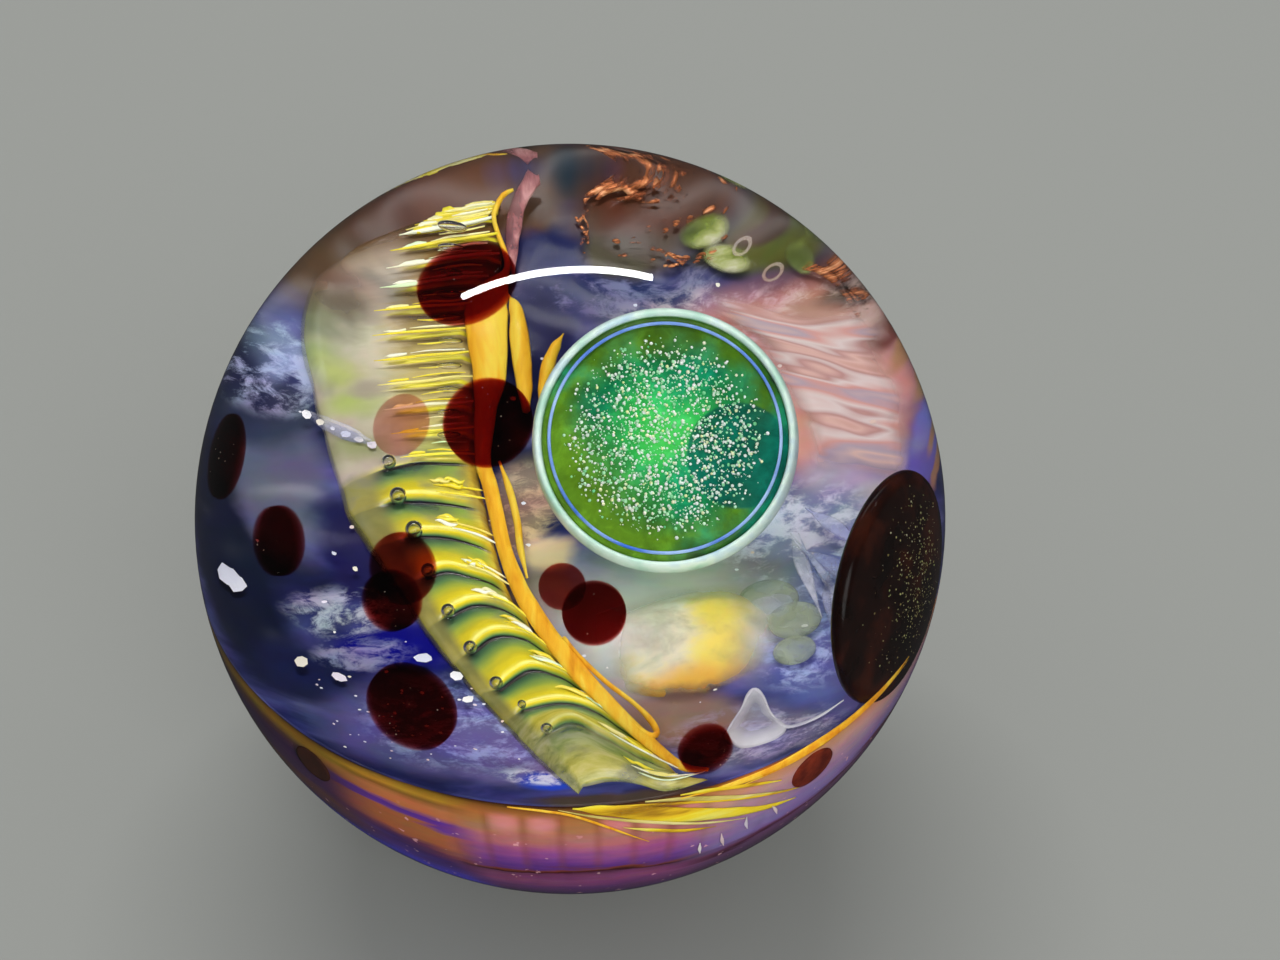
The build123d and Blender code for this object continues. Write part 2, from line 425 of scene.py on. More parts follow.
def along_points(points, count):
    """Even steps along a smooth curve through the points."""
    points = [Vector(p) for p in points]
    ends = [2 * points[0] - points[1], *points, 2 * points[-1] - points[-2]]
    dense = []
    for a, b, c, d in zip(ends, ends[1:], ends[2:], ends[3:]):
        dense += [between(a, b, c, d, step / 24) for step in range(24)]
    dense.append(points[-1])
    far = [0.0]
    for a, b in zip(dense, dense[1:]):
        far.append(far[-1] + (b - a).length)
    line, k = [], 0
    for step in range(count):
        want = far[-1] * step / (count - 1)
        while k < len(far) - 2 and far[k + 1] < want:
            k += 1
        line.append(dense[k].lerp(dense[k + 1], (want - far[k]) / max(far[k + 1] - far[k], 1e-12)))
    return line


def between(a, b, c, d, t):
    """Point of the smooth curve from b to c."""
    square, cube = 2 * a - 5 * b + 4 * c - d, 3 * b - a - 3 * c + d
    return 0.5 * (2 * b + (c - a) * t + square * t * t + cube * t ** 3)


def inside(shares, lift=0.0):
    """Place in the glass: shares of the radius, on the face where no height is given."""
    height = shares[2] * ball_radius if len(shares) > 2 else face_height
    return Vector((shares[0] * ball_radius, shares[1] * ball_radius, height + lift))


rib_numbers = list(rib_lines)
rib_bubble = 32
rib_rows = []
for line in rib_lines.values():
    places = [inside(s) for s in line]
    tip = along_points(places[-2:], rib_across - rib_bubble + 1)[1:]
    rib_rows.append(along_points(places[:-1], rib_bubble + 1) + tip)


def rib_place(number, j):
    """Place on the leaf at a rib number, which may lie between two ribs, and a step out from the spine."""
    k = max(i for i, mark in enumerate(rib_numbers[:-1]) if mark <= number)
    t = (number - rib_numbers[k]) / (rib_numbers[k + 1] - rib_numbers[k])
    b, c = rib_rows[k][j], rib_rows[k + 1][j]
    a = rib_rows[k - 1][j] if k else 2 * b - c
    d = rib_rows[k + 2][j] if k + 2 < len(rib_rows) else 2 * c - b
    return between(a, b, c, d, t)


along_count = rib_numbers[-1] * rib_steps + 1
# The seed keeps the leaf's fine wobble the same in each run
noise.seed_set(5)
feather_points, rib_phase, rib_reach, rib_along = [], [], [], []
for i in range(along_count):
    number = i / rib_steps
    phase = number % 1.0
    swell = (phase / 0.9) ** 1.5 if phase < 0.9 else 1 - ((phase - 0.9) / 0.1) ** 2
    for j in range(rib_across + 1):
        q = j / rib_across
        ends = max(0.0, min(1.0, 7 * (0.88 - q))) * min(1.0, 8 * q + 0.3)
        thin = min(1.0, 22 * (1 - q), 0.4 + 8 * q, 2 * number, 2 * (rib_numbers[-1] - number))
        strong = 1.0 if number > 12 else 0.5 * max(0.0, 1 - 1.6 * q)
        thin *= min(1.0, 0.30 + 0.175 * number)
        point = rib_place(number, j)
        uneven = 0.82 + 0.28 * noise.noise(Vector((round(number) * 3.7, q * 2.5, 1.0)))
        wobble = noise.noise_vector(point * 900) * 0.00005
        point += Vector((wobble.x, wobble.y, 0))
        point.z += rib_height * thin * (0.16 + 0.34 * swell * ends * strong * uneven)
        feather_points.append(point)
        rib_phase.append(phase)
        rib_reach.append(q)
        rib_along.append(number / rib_numbers[-1])


def slab(points, rows, columns, floor_height):
    """Points of the flat underside of a grid, and the faces that close both into a slab."""
    under = [Vector((p.x, p.y, floor_height)) for p in points]
    count, faces = len(points), []
    for i in range(rows - 1):
        for j in range(columns - 1):
            a = i * columns + j
            b, c, d = a + 1, a + columns + 1, a + columns
            faces += [(a, b, c, d), tuple(count + k for k in (d, c, b, a))]
    rim = [i * columns for i in range(rows)] + [(rows - 1) * columns + j for j in range(1, columns)]
    rim += [i * columns + columns - 1 for i in range(rows - 2, -1, -1)] + list(range(columns - 2, 0, -1))
    faces += [(a, b, count + b, count + a) for a, b in zip(rim, rim[1:] + rim[:1])]
    return under, faces


def stored(tree, name):
    """Number that a piece holds at each of its points."""
    return add(tree, "ShaderNodeAttribute", attribute_name=name).outputs["Fac"]


def mix_value(tree, share, first, second):
    return add(tree, "ShaderNodeMix", {0: share, 2: first, 3: second}, data_type="FLOAT").outputs[0]


def give(piece, name, values):
    """Stores a number at each point of a piece, for its material."""
    piece.data.attributes.new(name, "FLOAT", "POINT").data.foreach_set("value", values)


under, feather_faces = slab(feather_points, along_count, rib_across + 1, face_height - face_relief)
feather_points += under

feather_glass, tree, shader = new_glass("feather_glass", Roughness=0.25, Specular_IOR_Level=0.4)
phase = stored(tree, "rib_phase")
reach = stored(tree, "rib_reach")
along = stored(tree, "rib_along")
lines = add(tree, "ShaderNodeCombineXYZ", {0: times(tree, along, 60.0), 1: times(tree, reach, 2.5)})
grain = speckle(tree, lines.outputs[0], 1.5, 5.0, 0.6, 0.4)
tone = plus(tree, phase, times(tree, less(tree, grain, 0.5), 0.35))
clouds = swirls(tree, (1.0, 1.0, 1.0), 3.0, 0.2, 4.6, 4.0)
# Lower ribs: green to bright yellow towards the viewer; painted shade behind: a dark line and a teal hollow
leaf = ramp(tree, tone, [
    (0.0, "64863c"), (0.15, "84a842"), (0.38, "b4bc3c"), (0.60, "dccc2e"), (0.80, "fae42a"),
    (0.92, "fff67a"), (1.0, "f0d02a"),
])
leaf = mix(tree, fade(tree, clouds, 0.54, 0.66, 0.0, 0.45), leaf, "c8cc98")
# Painted shade: dark teal in the hollow that each raised rib edge shades
hollow_shade = ramp(tree, phase, [(0.0, "1c2428"), (0.10, "22483e"), (0.25, "3c7050"), (0.5, "6c9850")])
dark = times(tree, fade(tree, phase, 0.58, 0.06), fade(tree, reach, 0.22, 0.58))
leaf = mix(tree, times(tree, dark, fade(tree, reach, 0.98, 0.84, 0.2, 0.95)), leaf, hollow_shade)
leaf = mix(tree, fade(tree, reach, 0.24, 0.02, 0.0, 0.85), leaf,
           ramp(tree, grain, [(0.3, "c8921e"), (0.5, "ecc034"), (0.7, "f8e25a")]))
strip = ramp(tree, clouds, [(0.3, "4e5234"), (0.45, "7c7640"), (0.55, "98904e"), (0.7, "a8a48a")])
leaf = mix(tree, fade(tree, reach, 0.80, 0.90, 0.0, 0.9), leaf, strip)
# Painted shadow: a dark line just behind each raised rib edge, where it shades the next rib
line = times(tree, fade(tree, phase, 0.085, 0.045), fade(tree, reach, 0.85, 0.79))
leaf = mix(tree, times(tree, line, fade(tree, reach, 0.04, 0.22)), leaf, "1a0c0e")
leaf = mix(tree, fade(tree, along, 0.89, 0.97, 0.0, 0.5), leaf,
           ramp(tree, grain, [(0.36, "6c8440"), (0.5, "c8cc7c"), (0.62, "f0ecb4")]))
# Upper part: brown at the top, then olive and grey, with green and pink clouds on the left
upper = ramp(tree, along, [(0.0, "5c4026"), (0.12, "7a5830"), (0.24, "ac8a48"), (0.36, "ccb874"),
                           (0.48, "dccc84"), (0.56, "b8c064")])
upper = mix(tree, times(tree, fade(tree, tone, 0.40, 0.10), fade(tree, reach, 0.75, 0.35, 0.0, 0.45)),
            upper, "3c2a16")
glow = ramp(tree, clouds, [(0.34, "a8a680"), (0.46, "d6d0ac"), (0.54, "e2cfb8"), (0.64, "c6c4b4"),
                           (0.78, "bcc894")])
film_place = warped(tree, shares_of_ball(tree), 7.0, 0.10)
film_fields = [
    ((-0.35, 0.57), (0.06, 0.025), "a07468"), ((-0.355, 0.53), (0.06, 0.028), "564624"),
    ((-0.41, 0.49), (0.035, 0.03), "86905c"), ((-0.410, 0.425), (0.030, 0.035), "a4bc5c"),
    ((-0.380, 0.398), (0.035, 0.025), "d0dc70"), ((-0.368, 0.335), (0.045, 0.028), "c4d868"),
    ((-0.33, 0.365), (0.03, 0.02), "b4a890"), ((-0.36, 0.215), (0.05, 0.03), "a8b070"),
]
for middle, size, code in film_fields:
    glow = mix(tree, times(tree, field(tree, film_place, middle, size, 0.9), 0.9), glow, code)
left = plus(tree, reach, times(tree, less(tree, grain, 0.5), 0.3))
upper = mix(tree, times(tree, fade(tree, left, 0.40, 0.68), fade(tree, along, 0.08, 0.20)), upper, glow)
bright = times(tree, times(tree, fade(tree, phase, 0.70, 0.86), fade(tree, phase, 1.0, 0.94)),
               fade(tree, left, 0.64, 0.40))
upper = mix(tree, bright, upper, "f2e83c")
lower = fade(tree, along, 0.555, 0.575)
paint(tree, shader, "Base Color", mix(tree, lower, upper, leaf))
film = times(tree, fade(tree, left, 0.45, 0.85, 0.92, 0.70), fade(tree, clouds, 0.50, 0.64, 1.0, 0.65))
ribs = times(tree, fade(tree, clouds, 0.54, 0.68, 0.96, 0.55), fade(tree, along, 0.91, 0.98, 1.0, 0.7))
film = mix_value(tree, lower, film, ribs)
paint(tree, shader, "Alpha", figure(tree, "MINIMUM", film, fade(tree, reach, 1.0, 0.97, 0.3, 1.0)))

feather_leaf = add_piece("feather_leaf", feather_points, feather_faces, [feather_glass], "lime_glass",
                         ["feather"])
for name, values in (("rib_phase", rib_phase), ("rib_reach", rib_reach), ("rib_along", rib_along)):
    give(feather_leaf, name, values * 2)

# Feather spine
# The strip of orange and yellow glass along the right edge of the feather, drawn out by the same raking.
# It starts as a thread, broadens to a flat golden ribbon, and frays into loose strands along the seam.
thread_end, thread_lift, ribbon_lift, loose_lift = 0.55, 0.0003, 0.0006, 0.0007


def strand(points, widths, thickness, count=60, sides=10):
    """Points and faces of a flattened strand along a smooth line, with a width for each of the points."""
    line = along_points(points, count)
    made, faces = [], []
    far = [0.0]
    for a, b in zip(points, points[1:]):
        far.append(far[-1] + (b - a).length)
    for i, middle in enumerate(line):
        ahead = (line[min(i + 1, count - 1)] - line[max(i - 1, 0)]).normalized()
        normal = middle.normalized() if middle.length > ball_radius - 0.0006 else Vector((0, 0, 1))
        side = ahead.cross(normal).normalized()
        up = side.cross(ahead)
        want = far[-1] * i / (count - 1)
        k = max(n for n in range(len(far) - 1) if far[n] <= want + 1e-9)
        t = min(1.0, (want - far[k]) / (far[k + 1] - far[k]))
        u = t * t * (3 - 2 * t)
        width = widths[k] * (1 - u) + widths[k + 1] * u
        height = min(thickness, width * 1.2)
        for n in range(sides):
            angle = math.tau * n / sides
            made.append(middle + side * (width / 2 * math.cos(angle)) + up * (height / 2 * math.sin(angle)))
    for i in range(count - 1):
        for n in range(sides):
            m = (n + 1) % sides
            faces.append((i * sides + n, i * sides + m, (i + 1) * sides + m, (i + 1) * sides + n))
    faces.append(tuple(range(sides - 1, -1, -1)))
    faces.append(tuple((count - 1) * sides + n for n in range(sides)))
    return made, faces


def gather(shapes):
    """Several shapes as one list of points and one of faces."""
    points, faces = [], []
    for some_points, some_faces in shapes:
        first = len(points)
        points += some_points
        faces += [tuple(first + k for k in face) for face in some_faces]
    return points, faces


# Places along the spine, and its width at each
spine_run = [
    (-0.070, 0.709, 4e-5), (-0.086, 0.703, 9e-5), (-0.098, 0.690, 14e-5), (-0.103, 0.678, 15e-5),
    (-0.099, 0.656, 16e-5), (-0.092, 0.629, 18e-5), (-0.092, 0.600, 22e-5), (-0.120, 0.552, 12e-4),
    (-0.131, 0.505, 15e-4), (-0.133, 0.440, 14e-4), (-0.134, 0.369, 12e-4), (-0.146, 0.280, 8e-4),
    (-0.156, 0.159, 6e-4), (-0.147, 0.096, 6e-4), (-0.138, 0.015, 6e-4), (-0.127, -0.082, 6e-4),
    (-0.106, -0.183, 7e-4), (-0.083, -0.257, 8e-4), (-0.051, -0.340, 8e-4), (-0.024, -0.397, 9e-4),
    (0.008, -0.469, 9e-4), (0.041, -0.531, 8e-4), (0.125, -0.681, 7e-4), (0.231, -0.848, 5e-4),
    (0.300, -0.885, 2e-4),
]
spine_glass, tree, shader = new_glass("spine_glass", Roughness=0.2)
flow = swirls(tree, (7.0, 1.2, 4.0), 2.0, 0.6, 3.2, 4.0)
colour = ramp(tree, flow, [(0.24, "b0641a"), (0.36, "e89c22"), (0.50, "f6bc30"), (0.62, "fad64a"),
                           (0.80, "eca62a")])
paint(tree, shader, "Base Color", colour)
spine_line = [inside(s[:2], thread_lift if s[1] > thread_end else ribbon_lift) for s in spine_run]
points, faces = strand(spine_line, [s[2] for s in spine_run], 0.0004, 200, 16)
add_piece("spine_ribbon", points, faces, [spine_glass], "orange_glass", ["feather_spine"])

# Loose strands: places along each one, and its widths
loose_strands = [
    ([(-0.092, 0.556), (-0.082, 0.504), (-0.080, 0.450), (-0.078, 0.400), (-0.076, 0.343), (-0.075, 0.280)],
     [5e-5, 5e-4, 7e-4, 7e-4, 6e-4, 3e-4]),
    ([(-0.006, 0.456), (-0.022, 0.422), (-0.034, 0.386), (-0.043, 0.338), (-0.049, 0.270)],
     [5e-5, 4e-4, 5e-4, 4e-4, 1e-4]),
    ([(-0.127, 0.150), (-0.111, 0.069), (-0.101, -0.013), (-0.098, -0.082), (-0.088, -0.170)],
     [1e-4, 3e-4, 3e-4, 3e-4, 1e-4]),
    ([(-0.022, -0.357), (0.006, -0.415), (0.061, -0.505), (0.116, -0.580), (0.154, -0.649), (0.169, -0.701),
      (0.148, -0.704), (0.085, -0.609)], [2e-4, 2e-4, 2e-4, 2e-4, 3e-4, 3e-4, 3e-4, 1e-4]),
]
points, faces = gather([strand([inside(s, thread_lift if s[1] > thread_end else loose_lift) for s in line],
                               widths, 0.0004)
                        for line, widths in loose_strands])
add_piece("gold_strands", points, faces, [spine_glass], "orange_glass")

glints = []
draw = random.Random(3)
for number in range(12, 21):
    for _ in range(3):
        start, phase = draw.randint(4, 15), draw.uniform(0.40, 0.82)
        line = [rib_place(number + phase + draw.uniform(-0.05, 0.05), start + 2 * k) for k in range(5)]
        line = [point + Vector((0, 0, rib_height * (0.20 + 0.36 * phase ** 1.5))) for point in line]
        glints.append(strand(line, [3e-5, 20e-5, draw.uniform(20e-5, 32e-5), 16e-5, 3e-5], 0.0001, 30, 8))
    for phase in (0.66, 0.90):
        line = [rib_place(number + phase, j) for j in range(0, 20, 3)]
        line = [point + Vector((0, 0, rib_height * (0.18 + 0.34 * phase ** 1.5))) for point in line]
        glints.append(strand(line, [4e-5] + [draw.uniform(7e-5, 13e-5) for _ in line[2:]] + [3e-5], 0.00008,
                             30, 8))
for number in [-0.6, -0.2, 0.2, 0.6, *range(1, 12)]:
    for phase, steps, width in ((0.88, (0, 6, 13, 20, 27), 12e-5), (0.72, (2, 7, 12, 17), 7e-5),
                                (0.80, (18, 20, 22, 24), 16e-5), (0.42, (3, 7, 11, 15), 6e-5)):
        line = [rib_place(max(0.0, number + phase + draw.uniform(-0.04, 0.04)), j) for j in steps]
        line = [point + Vector((0, 0, rib_height * (0.46 - 0.004 * j) * min(1.0, 0.3 + 0.175 * number)))
                for point, j in zip(line, steps)]
        glints.append(strand(line, [width * 0.5] + [width * draw.uniform(0.6, 1.1) for _ in line[2:]]
                             + [2e-5], 0.00009, 30, 8))


def island_luck(tree):
    """Random number of each loose bit of a mesh."""
    return add(tree, "ShaderNodeNewGeometry").outputs["Random Per Island"]


def coat(tree, shader, value, stops):
    """Paints a shader with the colours that a value picks."""
    paint(tree, shader, "Base Color", ramp(tree, value, stops))


glint_glass, tree, shader = new_glass("glint_glass", Roughness=0.15, Specular_IOR_Level=0.5)
luck = island_luck(tree)
coat(tree, shader, luck, [(0.0, "fff04a"), (0.35, "f6e22a"), (0.6, "fff8b0"), (0.8, "ffffe8"),
                          (1.0, "dcffc0")])
add_piece("rib_glints", *gather(glints), [glint_glass], "lime_glass")


def on_side(turn, rise, depth=0.00012):
    """Place just under the surface, by degrees round from the front and degrees above the middle."""
    turn, rise = math.radians(turn), math.radians(rise)
    outward = Vector((math.cos(rise) * math.sin(turn), -math.cos(rise) * math.cos(turn), math.sin(rise)))
    return outward * (ball_radius - depth)


# Strands that run over the seam: turns and rises along each one, and widths
rim_strands = [
    ([(-1, -1.9), (3, -2.5), (9.5, -4.4), (15, -6.6), (21.5, -9.2), (28, -12.0), (34, -14.0)],
     [1e-4, 8e-4, 12e-4, 12e-4, 9e-4, 5e-4, 1e-4]),
    ([(9, -1.7), (14, -2.6), (19, -4.4), (25, -7.0), (31, -9.6)], [1e-4, 3e-4, 4e-4, 3e-4, 1e-4]),
    ([(14, -1.7), (18, -2.2), (24, -4.0), (30, -6.4)], [1e-4, 3e-4, 3e-4, 1e-4]),
    ([(6, -7.0), (10, -8.6), (15, -10.6), (20, -12.0)], [5e-5, 3e-4, 3e-4, 5e-5]),
    ([(-3, -2.2), (3, -4.2), (10, -6.6), (17, -9.6), (25, -12.8)], [5e-5, 2e-4, 3e-4, 2e-4, 5e-5]),
    ([(5, -1.8), (10, -2.6), (16, -4.0), (24, -6.8), (30, -9.4), (35, -11.6)],
     [5e-5, 2e-4, 2e-4, 3e-4, 2e-4, 5e-5]),
]
seam_bands = [
    ([(14, -2.4), (26, -2.6), (36, -2.4), (44, -2.0), (52, -1.8), (58, -1.7)],
     [1e-4, 5e-4, 8e-4, 6e-4, 4e-4, 1e-4]),
    ([(22, -3.6), (34, -3.2), (46, -2.6), (58, -2.4)], [5e-5, 2e-4, 2e-4, 5e-5]),
    ([(-10, -2.0), (-5, -2.4), (-1, -3.4), (4, -6.6), (9.8, -11.6)], [1e-4, 2e-4, 2e-4, 2e-4, 5e-5]),
]
add_piece("amber_bands", *gather([strand([on_side(*s) for s in line], widths, 0.00012, 90)
                                  for line, widths in seam_bands]), [spine_glass], "orange_glass")
yellow_glass, tree, shader = new_glass("yellow_strand_glass", Roughness=0.2)
flow = swirls(tree, (1.5, 1.5, 8.0), 1.5, 0.3, 3.0, 3.0, 0.45)
luck = island_luck(tree)
bold = ramp(tree, flow, [(0.32, "c89a26"), (0.45, "ecc82c"), (0.55, "f4e034"), (0.68, "f0e870"),
                         (0.82, "b4b440")])
pale = ramp(tree, flow, [(0.32, "a89a4a"), (0.5, "e0d47a"), (0.7, "f0ecb0")])
paint(tree, shader, "Base Color", mix(tree, fade(tree, luck, 0.55, 0.45), bold, pale))
paint(tree, shader, "Alpha", fade(tree, flow, 0.28, 0.42, 0.5, 0.95))
add_piece("seam_strands", *gather([strand([on_side(*s, 0.00016) for s in line], widths, 0.00014)
                                   for line, widths in rim_strands]), [yellow_glass], "yellow_glass")

# Tip bubbles
# Air that was trapped at the tip of each rib when the clear glass went on. The lower bubbles are round, and
# those between the upper ribs were stretched as the leaf was raked.
bubble_places = [
    ((-0.322, 0.165), 0.00028, 1.0), ((-0.313, 0.076), 0.00034, 1.0), ((-0.291, -0.017), 0.00036, 1.0),
    ((-0.273, -0.133), 0.00029, 1.0), ((-0.243, -0.254), 0.00030, 1.0), ((-0.207, -0.369), 0.00030, 1.0),
    ((-0.162, -0.487), 0.00030, 1.0), ((-0.113, -0.563), 0.00020, 1.0), ((-0.065, -0.655), 0.00028, 1.0),
]
bubble_places += [((x, y), 0.00013, 3.4) for x, y in (
    (-0.165, 0.655), (-0.172, 0.625), (-0.180, 0.585), (-0.186, 0.545), (-0.190, 0.500), (-0.194, 0.450),
    (-0.200, 0.395), (-0.205, 0.340), (-0.208, 0.285), (-0.212, 0.230))]


def ball(middle, radius, stretch=1.0, flat=1.0, rows=10, segments=16):
    """Points and faces of a small ball, stretched along X and flattened in height."""
    profile = [(radius * math.sin(math.pi * k / rows), -radius * math.cos(math.pi * k / rows))
               for k in range(rows + 1)]
    profile[0], profile[-1] = (0.0, -radius), (0.0, radius)
    points, faces = turned(profile, segments)
    return [Vector((p.x * stretch, p.y, p.z * flat)) + middle for p in points], faces


bubble_air, tree, shader = new_glass("bubble_air", Transmission_Weight=1.0, Roughness=0.0, IOR=0.68)
add_piece("tip_bubbles", *gather([ball(inside(s, rib_height * 0.42), r, w) for s, r, w in bubble_places]),
          [bubble_air], "clear_glass")

# Pink veil
# A patch of streaky pink glass laid on the face behind the disc and pulled into a bundle of long ripples,
# from salmon to milky white.
veil_low, veil_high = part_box("pink_veil")
veil_height = veil_high.z - veil_low.z
veil_starts = [(0.19, 0.58), (0.23, 0.53), (0.29, 0.46), (0.34, 0.37), (0.39, 0.26), (0.44, 0.12)]
veil_ends = [(0.44, 0.52), (0.51, 0.43), (0.56, 0.34), (0.59, 0.26), (0.61, 0.18), (0.60, 0.08)]
veil_rows, veil_columns = 90, 70
veil_points, veil_across, veil_along = [], [], []
for i in range(veil_rows):
    s = i / (veil_rows - 1)
    t = min(s * (len(veil_starts) - 1), len(veil_starts) - 1.001)
    k = int(t)
    start = Vector(veil_starts[k]).lerp(Vector(veil_starts[k + 1]), t - k)
    end = Vector(veil_ends[k]).lerp(Vector(veil_ends[k + 1]), t - k)
    for j in range(veil_columns):
        v = j / (veil_columns - 1)
        bend = 0.012 * noise.noise(Vector((s * 3, v * 2.5, 7)))
        ripple = noise.noise(Vector((s * 9 + bend * 60, v * 1.4, 2)))
        ripple += 0.4 * noise.noise(Vector((s * 22, v * 2.0, 5)))
        spot = start.lerp(end, v) + Vector((0, bend))
        veil_points.append(inside(spot, veil_height * (0.12 + 0.05 * ripple)))
        veil_across.append(s)
        veil_along.append(v)
under, veil_faces = slab(veil_points, veil_rows, veil_columns, face_height - face_relief)
pink_glass, tree, shader = new_glass("pink_glass", Roughness=0.3)
across = stored(tree, "veil_across")
along = stored(tree, "veil_along")
lines = add(tree, "ShaderNodeCombineXYZ", {0: times(tree, across, 6.0), 1: times(tree, along, 0.7)})
flow = speckle(tree, warped(tree, lines.outputs[0], 0.5, 0.65), 1.0, 2.0, 0.4)
colour = ramp(tree, flow, [(0.26, "a87068"), (0.34, "d89c8e"), (0.41, "f2c4ba"), (0.45, "cf9c98"),
                           (0.49, "f6e4e2"), (0.54, "eaaca4"), (0.58, "c4b0c0"), (0.64, "f4cabc"),
                           (0.74, "a89ab8")])
paint(tree, shader, "Base Color", colour)
side = figure(tree, "MINIMUM", times(tree, across, 5.0), times(tree, less(tree, 1.0, across), 5.0))
tail = figure(tree, "MINIMUM", times(tree, along, 4.0), times(tree, less(tree, 1.0, along), 4.0))
soft = plus(tree, figure(tree, "MINIMUM", side, tail), times(tree, less(tree, flow, 0.5), 1.6))
paint(tree, shader, "Alpha", fade(tree, soft, 0.05, 1.0, 0.0, 0.8))
pink_ripples = add_piece("pink_ripples", veil_points + under, veil_faces, [pink_glass], "pink_glass",
                         ["pink_veil"])
for name, values in (("veil_across", veil_across), ("veil_along", veil_along)):
    give(pink_ripples, name, values * 2)

# Mauve strip beside the thin end of the spine
mauve_line = [(-0.032, 0.720), (-0.048, 0.715), (-0.064, 0.700), (-0.074, 0.676), (-0.080, 0.645),
              (-0.082, 0.595)]
mauve_glass, tree, shader = new_glass("mauve_glass", Roughness=0.3)
flow = speckle(tree, shares_of_ball(tree, (2.0, 1.4, 1.0)), 14.0, 5.0)
coat(tree, shader, flow, [(0.3, "7a4450"), (0.5, "b8787a"), (0.65, "e0aaa8"), (0.8, "8a6080")])
paint(tree, shader, "Alpha", fade(tree, flow, 0.36, 0.58, 0.35, 0.9))
points, faces = strand([inside(s, 0.0002) for s in mauve_line], [1e-4, 3e-4, 4e-4, 5e-4, 4e-4, 1e-4],
                       0.0001)
add_piece("mauve_strip", points, faces, [mauve_glass], "pink_glass")

# Yellow cloud
# A cloudy lump of cream and yellow glass on the face, in front of the disc. It was melted down from milky
# rod, so that it thins out and turns to amber at its edge.
cloud_low, cloud_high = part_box("yellow_cloud")
cloud_outline = [(0.04, -0.25), (0.16, -0.19), (0.31, -0.17), (0.42, -0.26), (0.42, -0.36), (0.36, -0.46),
                 (0.23, -0.545),
                 (0.12, -0.51), (0.05, -0.40)]


def lump(outline, thickness, roughness, seed, rings=26, count=120):
    """Points and faces of a soft lump on the face, and how near each point is to its edge."""
    loop = [inside(s) for s in outline]
    edge = along_points(loop + loop[:1], count + 1)[:count]
    middle = sum(edge, Vector()) / count
    points, near, faces = [middle.copy()], [0.0], []
    for ring in range(1, rings + 1):
        t = ring / rings
        for k in range(count):
            points.append(middle.lerp(edge[k], t))
            near.append(t)
    for i, point in enumerate(points):
        uneven = 0.5 + 0.5 * noise.noise(point * 420 + Vector((seed, 0, 0)))
        swell = (1 - near[i] ** 2.5) * (1 - roughness + roughness * uneven)
        point.z = face_height + thickness * (0.06 + 0.94 * swell)
    for k in range(count):
        n = (k + 1) % count
        faces.append((0, 1 + k, 1 + n))
        for ring in range(rings - 1):
            a, b = 1 + ring * count, 1 + (ring + 1) * count
            faces.append((a + k, b + k, b + n, a + n))
    top = len(points)
    points += [Vector((p.x, p.y, face_height - face_relief)) for p in points]
    faces += [tuple(top + i for i in reversed(face)) for face in faces]
    last = 1 + (rings - 1) * count
    for k in range(count):
        n = (k + 1) % count
        faces.append((last + k, top + last + k, top + last + n, last + n))
    return points, faces, near * 2


cloud_glass, tree, shader = new_glass("cloud_glass", Roughness=0.3, Subsurface_Weight=0.4,
                                      Subsurface_Scale=0.001)
near = stored(tree, "edge_near")
place = warped(tree, shares_of_ball(tree), 4.5, 0.16)
flow = speckle(tree, place, 5.0, 5.0, 0.6)
colour = ramp(tree, flow, [(0.30, "a9ad86"), (0.42, "d8d4b4"), (0.52, "e6dfc0"), (0.62, "efe08a"),
                           (0.72, "ecc83a"), (0.85, "d89a2c")])
across = add(tree, "ShaderNodeSeparateXYZ", {0: place}).outputs
stripe = figure(tree, "ABSOLUTE", less(tree, across["X"], 0.29))
colour = mix(tree, fade(tree, stripe, 0.10, 0.01, 0.0, 0.9), colour, "f2d838")
low = plus(tree, across["Y"], times(tree, across["X"], -0.35))
colour = mix(tree, fade(tree, low, -0.50, -0.58, 0.0, 0.9), colour, "e6ac36")
paint(tree, shader, "Base Color", colour)
ragged = plus(tree, near, times(tree, less(tree, flow, 0.5), 0.5))
firm = fade(tree, across["Y"], -0.34, -0.48, 0.25, 0.80)
solid = fade(tree, ragged, 1.02, firm)
paint(tree, shader, "Alpha", times(tree, solid, fade(tree, flow, 0.36, 0.56, 0.45, 0.85)))
points, faces, near = lump(cloud_outline, cloud_high.z - cloud_low.z, 0.5, 3.0)
cloud_lump = add_piece("cloud_lump", points, faces, [cloud_glass], "yellow_glass", ["yellow_cloud"])
give(cloud_lump, "edge_near", near)

# White wisp
# A milky curl of white glass near the seam at the lower right, drawn up with a pick while it was soft. It
# is almost clear in the middle and paler at its edge.
wisp_low, wisp_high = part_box("white_wisp")
wisp_edge = [(0.318, -0.690), (0.328, -0.645), (0.346, -0.583), (0.357, -0.530), (0.369, -0.515),
             (0.390, -0.543),
             (0.418, -0.617), (0.467, -0.688), (0.544, -0.674), (0.611, -0.620)]
wisp_widths = [5e-5, 1e-4, 1e-4, 2e-4, 2e-4, 1e-4, 1e-4, 3e-4, 3e-4, 1e-4]
wisp_glass, tree, shader = new_glass("wisp_glass", Roughness=0.3)
near = stored(tree, "edge_near")
flow = speckle(tree, shares_of_ball(tree), 9.0, 4.0)
coat(tree, shader, flow, [(0.3, "d2cede"), (0.6, "f6f4f4")])
paint(tree, shader, "Alpha", fade(tree, near, 0.30, 1.0, 0.20, 0.60))
curl_points, curl_faces = strand([inside(s, 0.00003) for s in wisp_edge], wisp_widths, 0.0001, 90)
hill_points, hill_faces, hill_near = lump(wisp_edge[:8] + [(0.440, -0.735), (0.365, -0.745)],
                                          (wisp_high.z - wisp_low.z) * 0.2, 0.2, 9.0, 16, 80)
points, faces = gather([(hill_points, hill_faces), (curl_points, curl_faces)])
wisp_curl = add_piece("wisp_curl", points, faces, [wisp_glass], "white_glass", ["white_wisp"])
near = hill_near + [0.92] * len(curl_points)
give(wisp_curl, "edge_near", near)

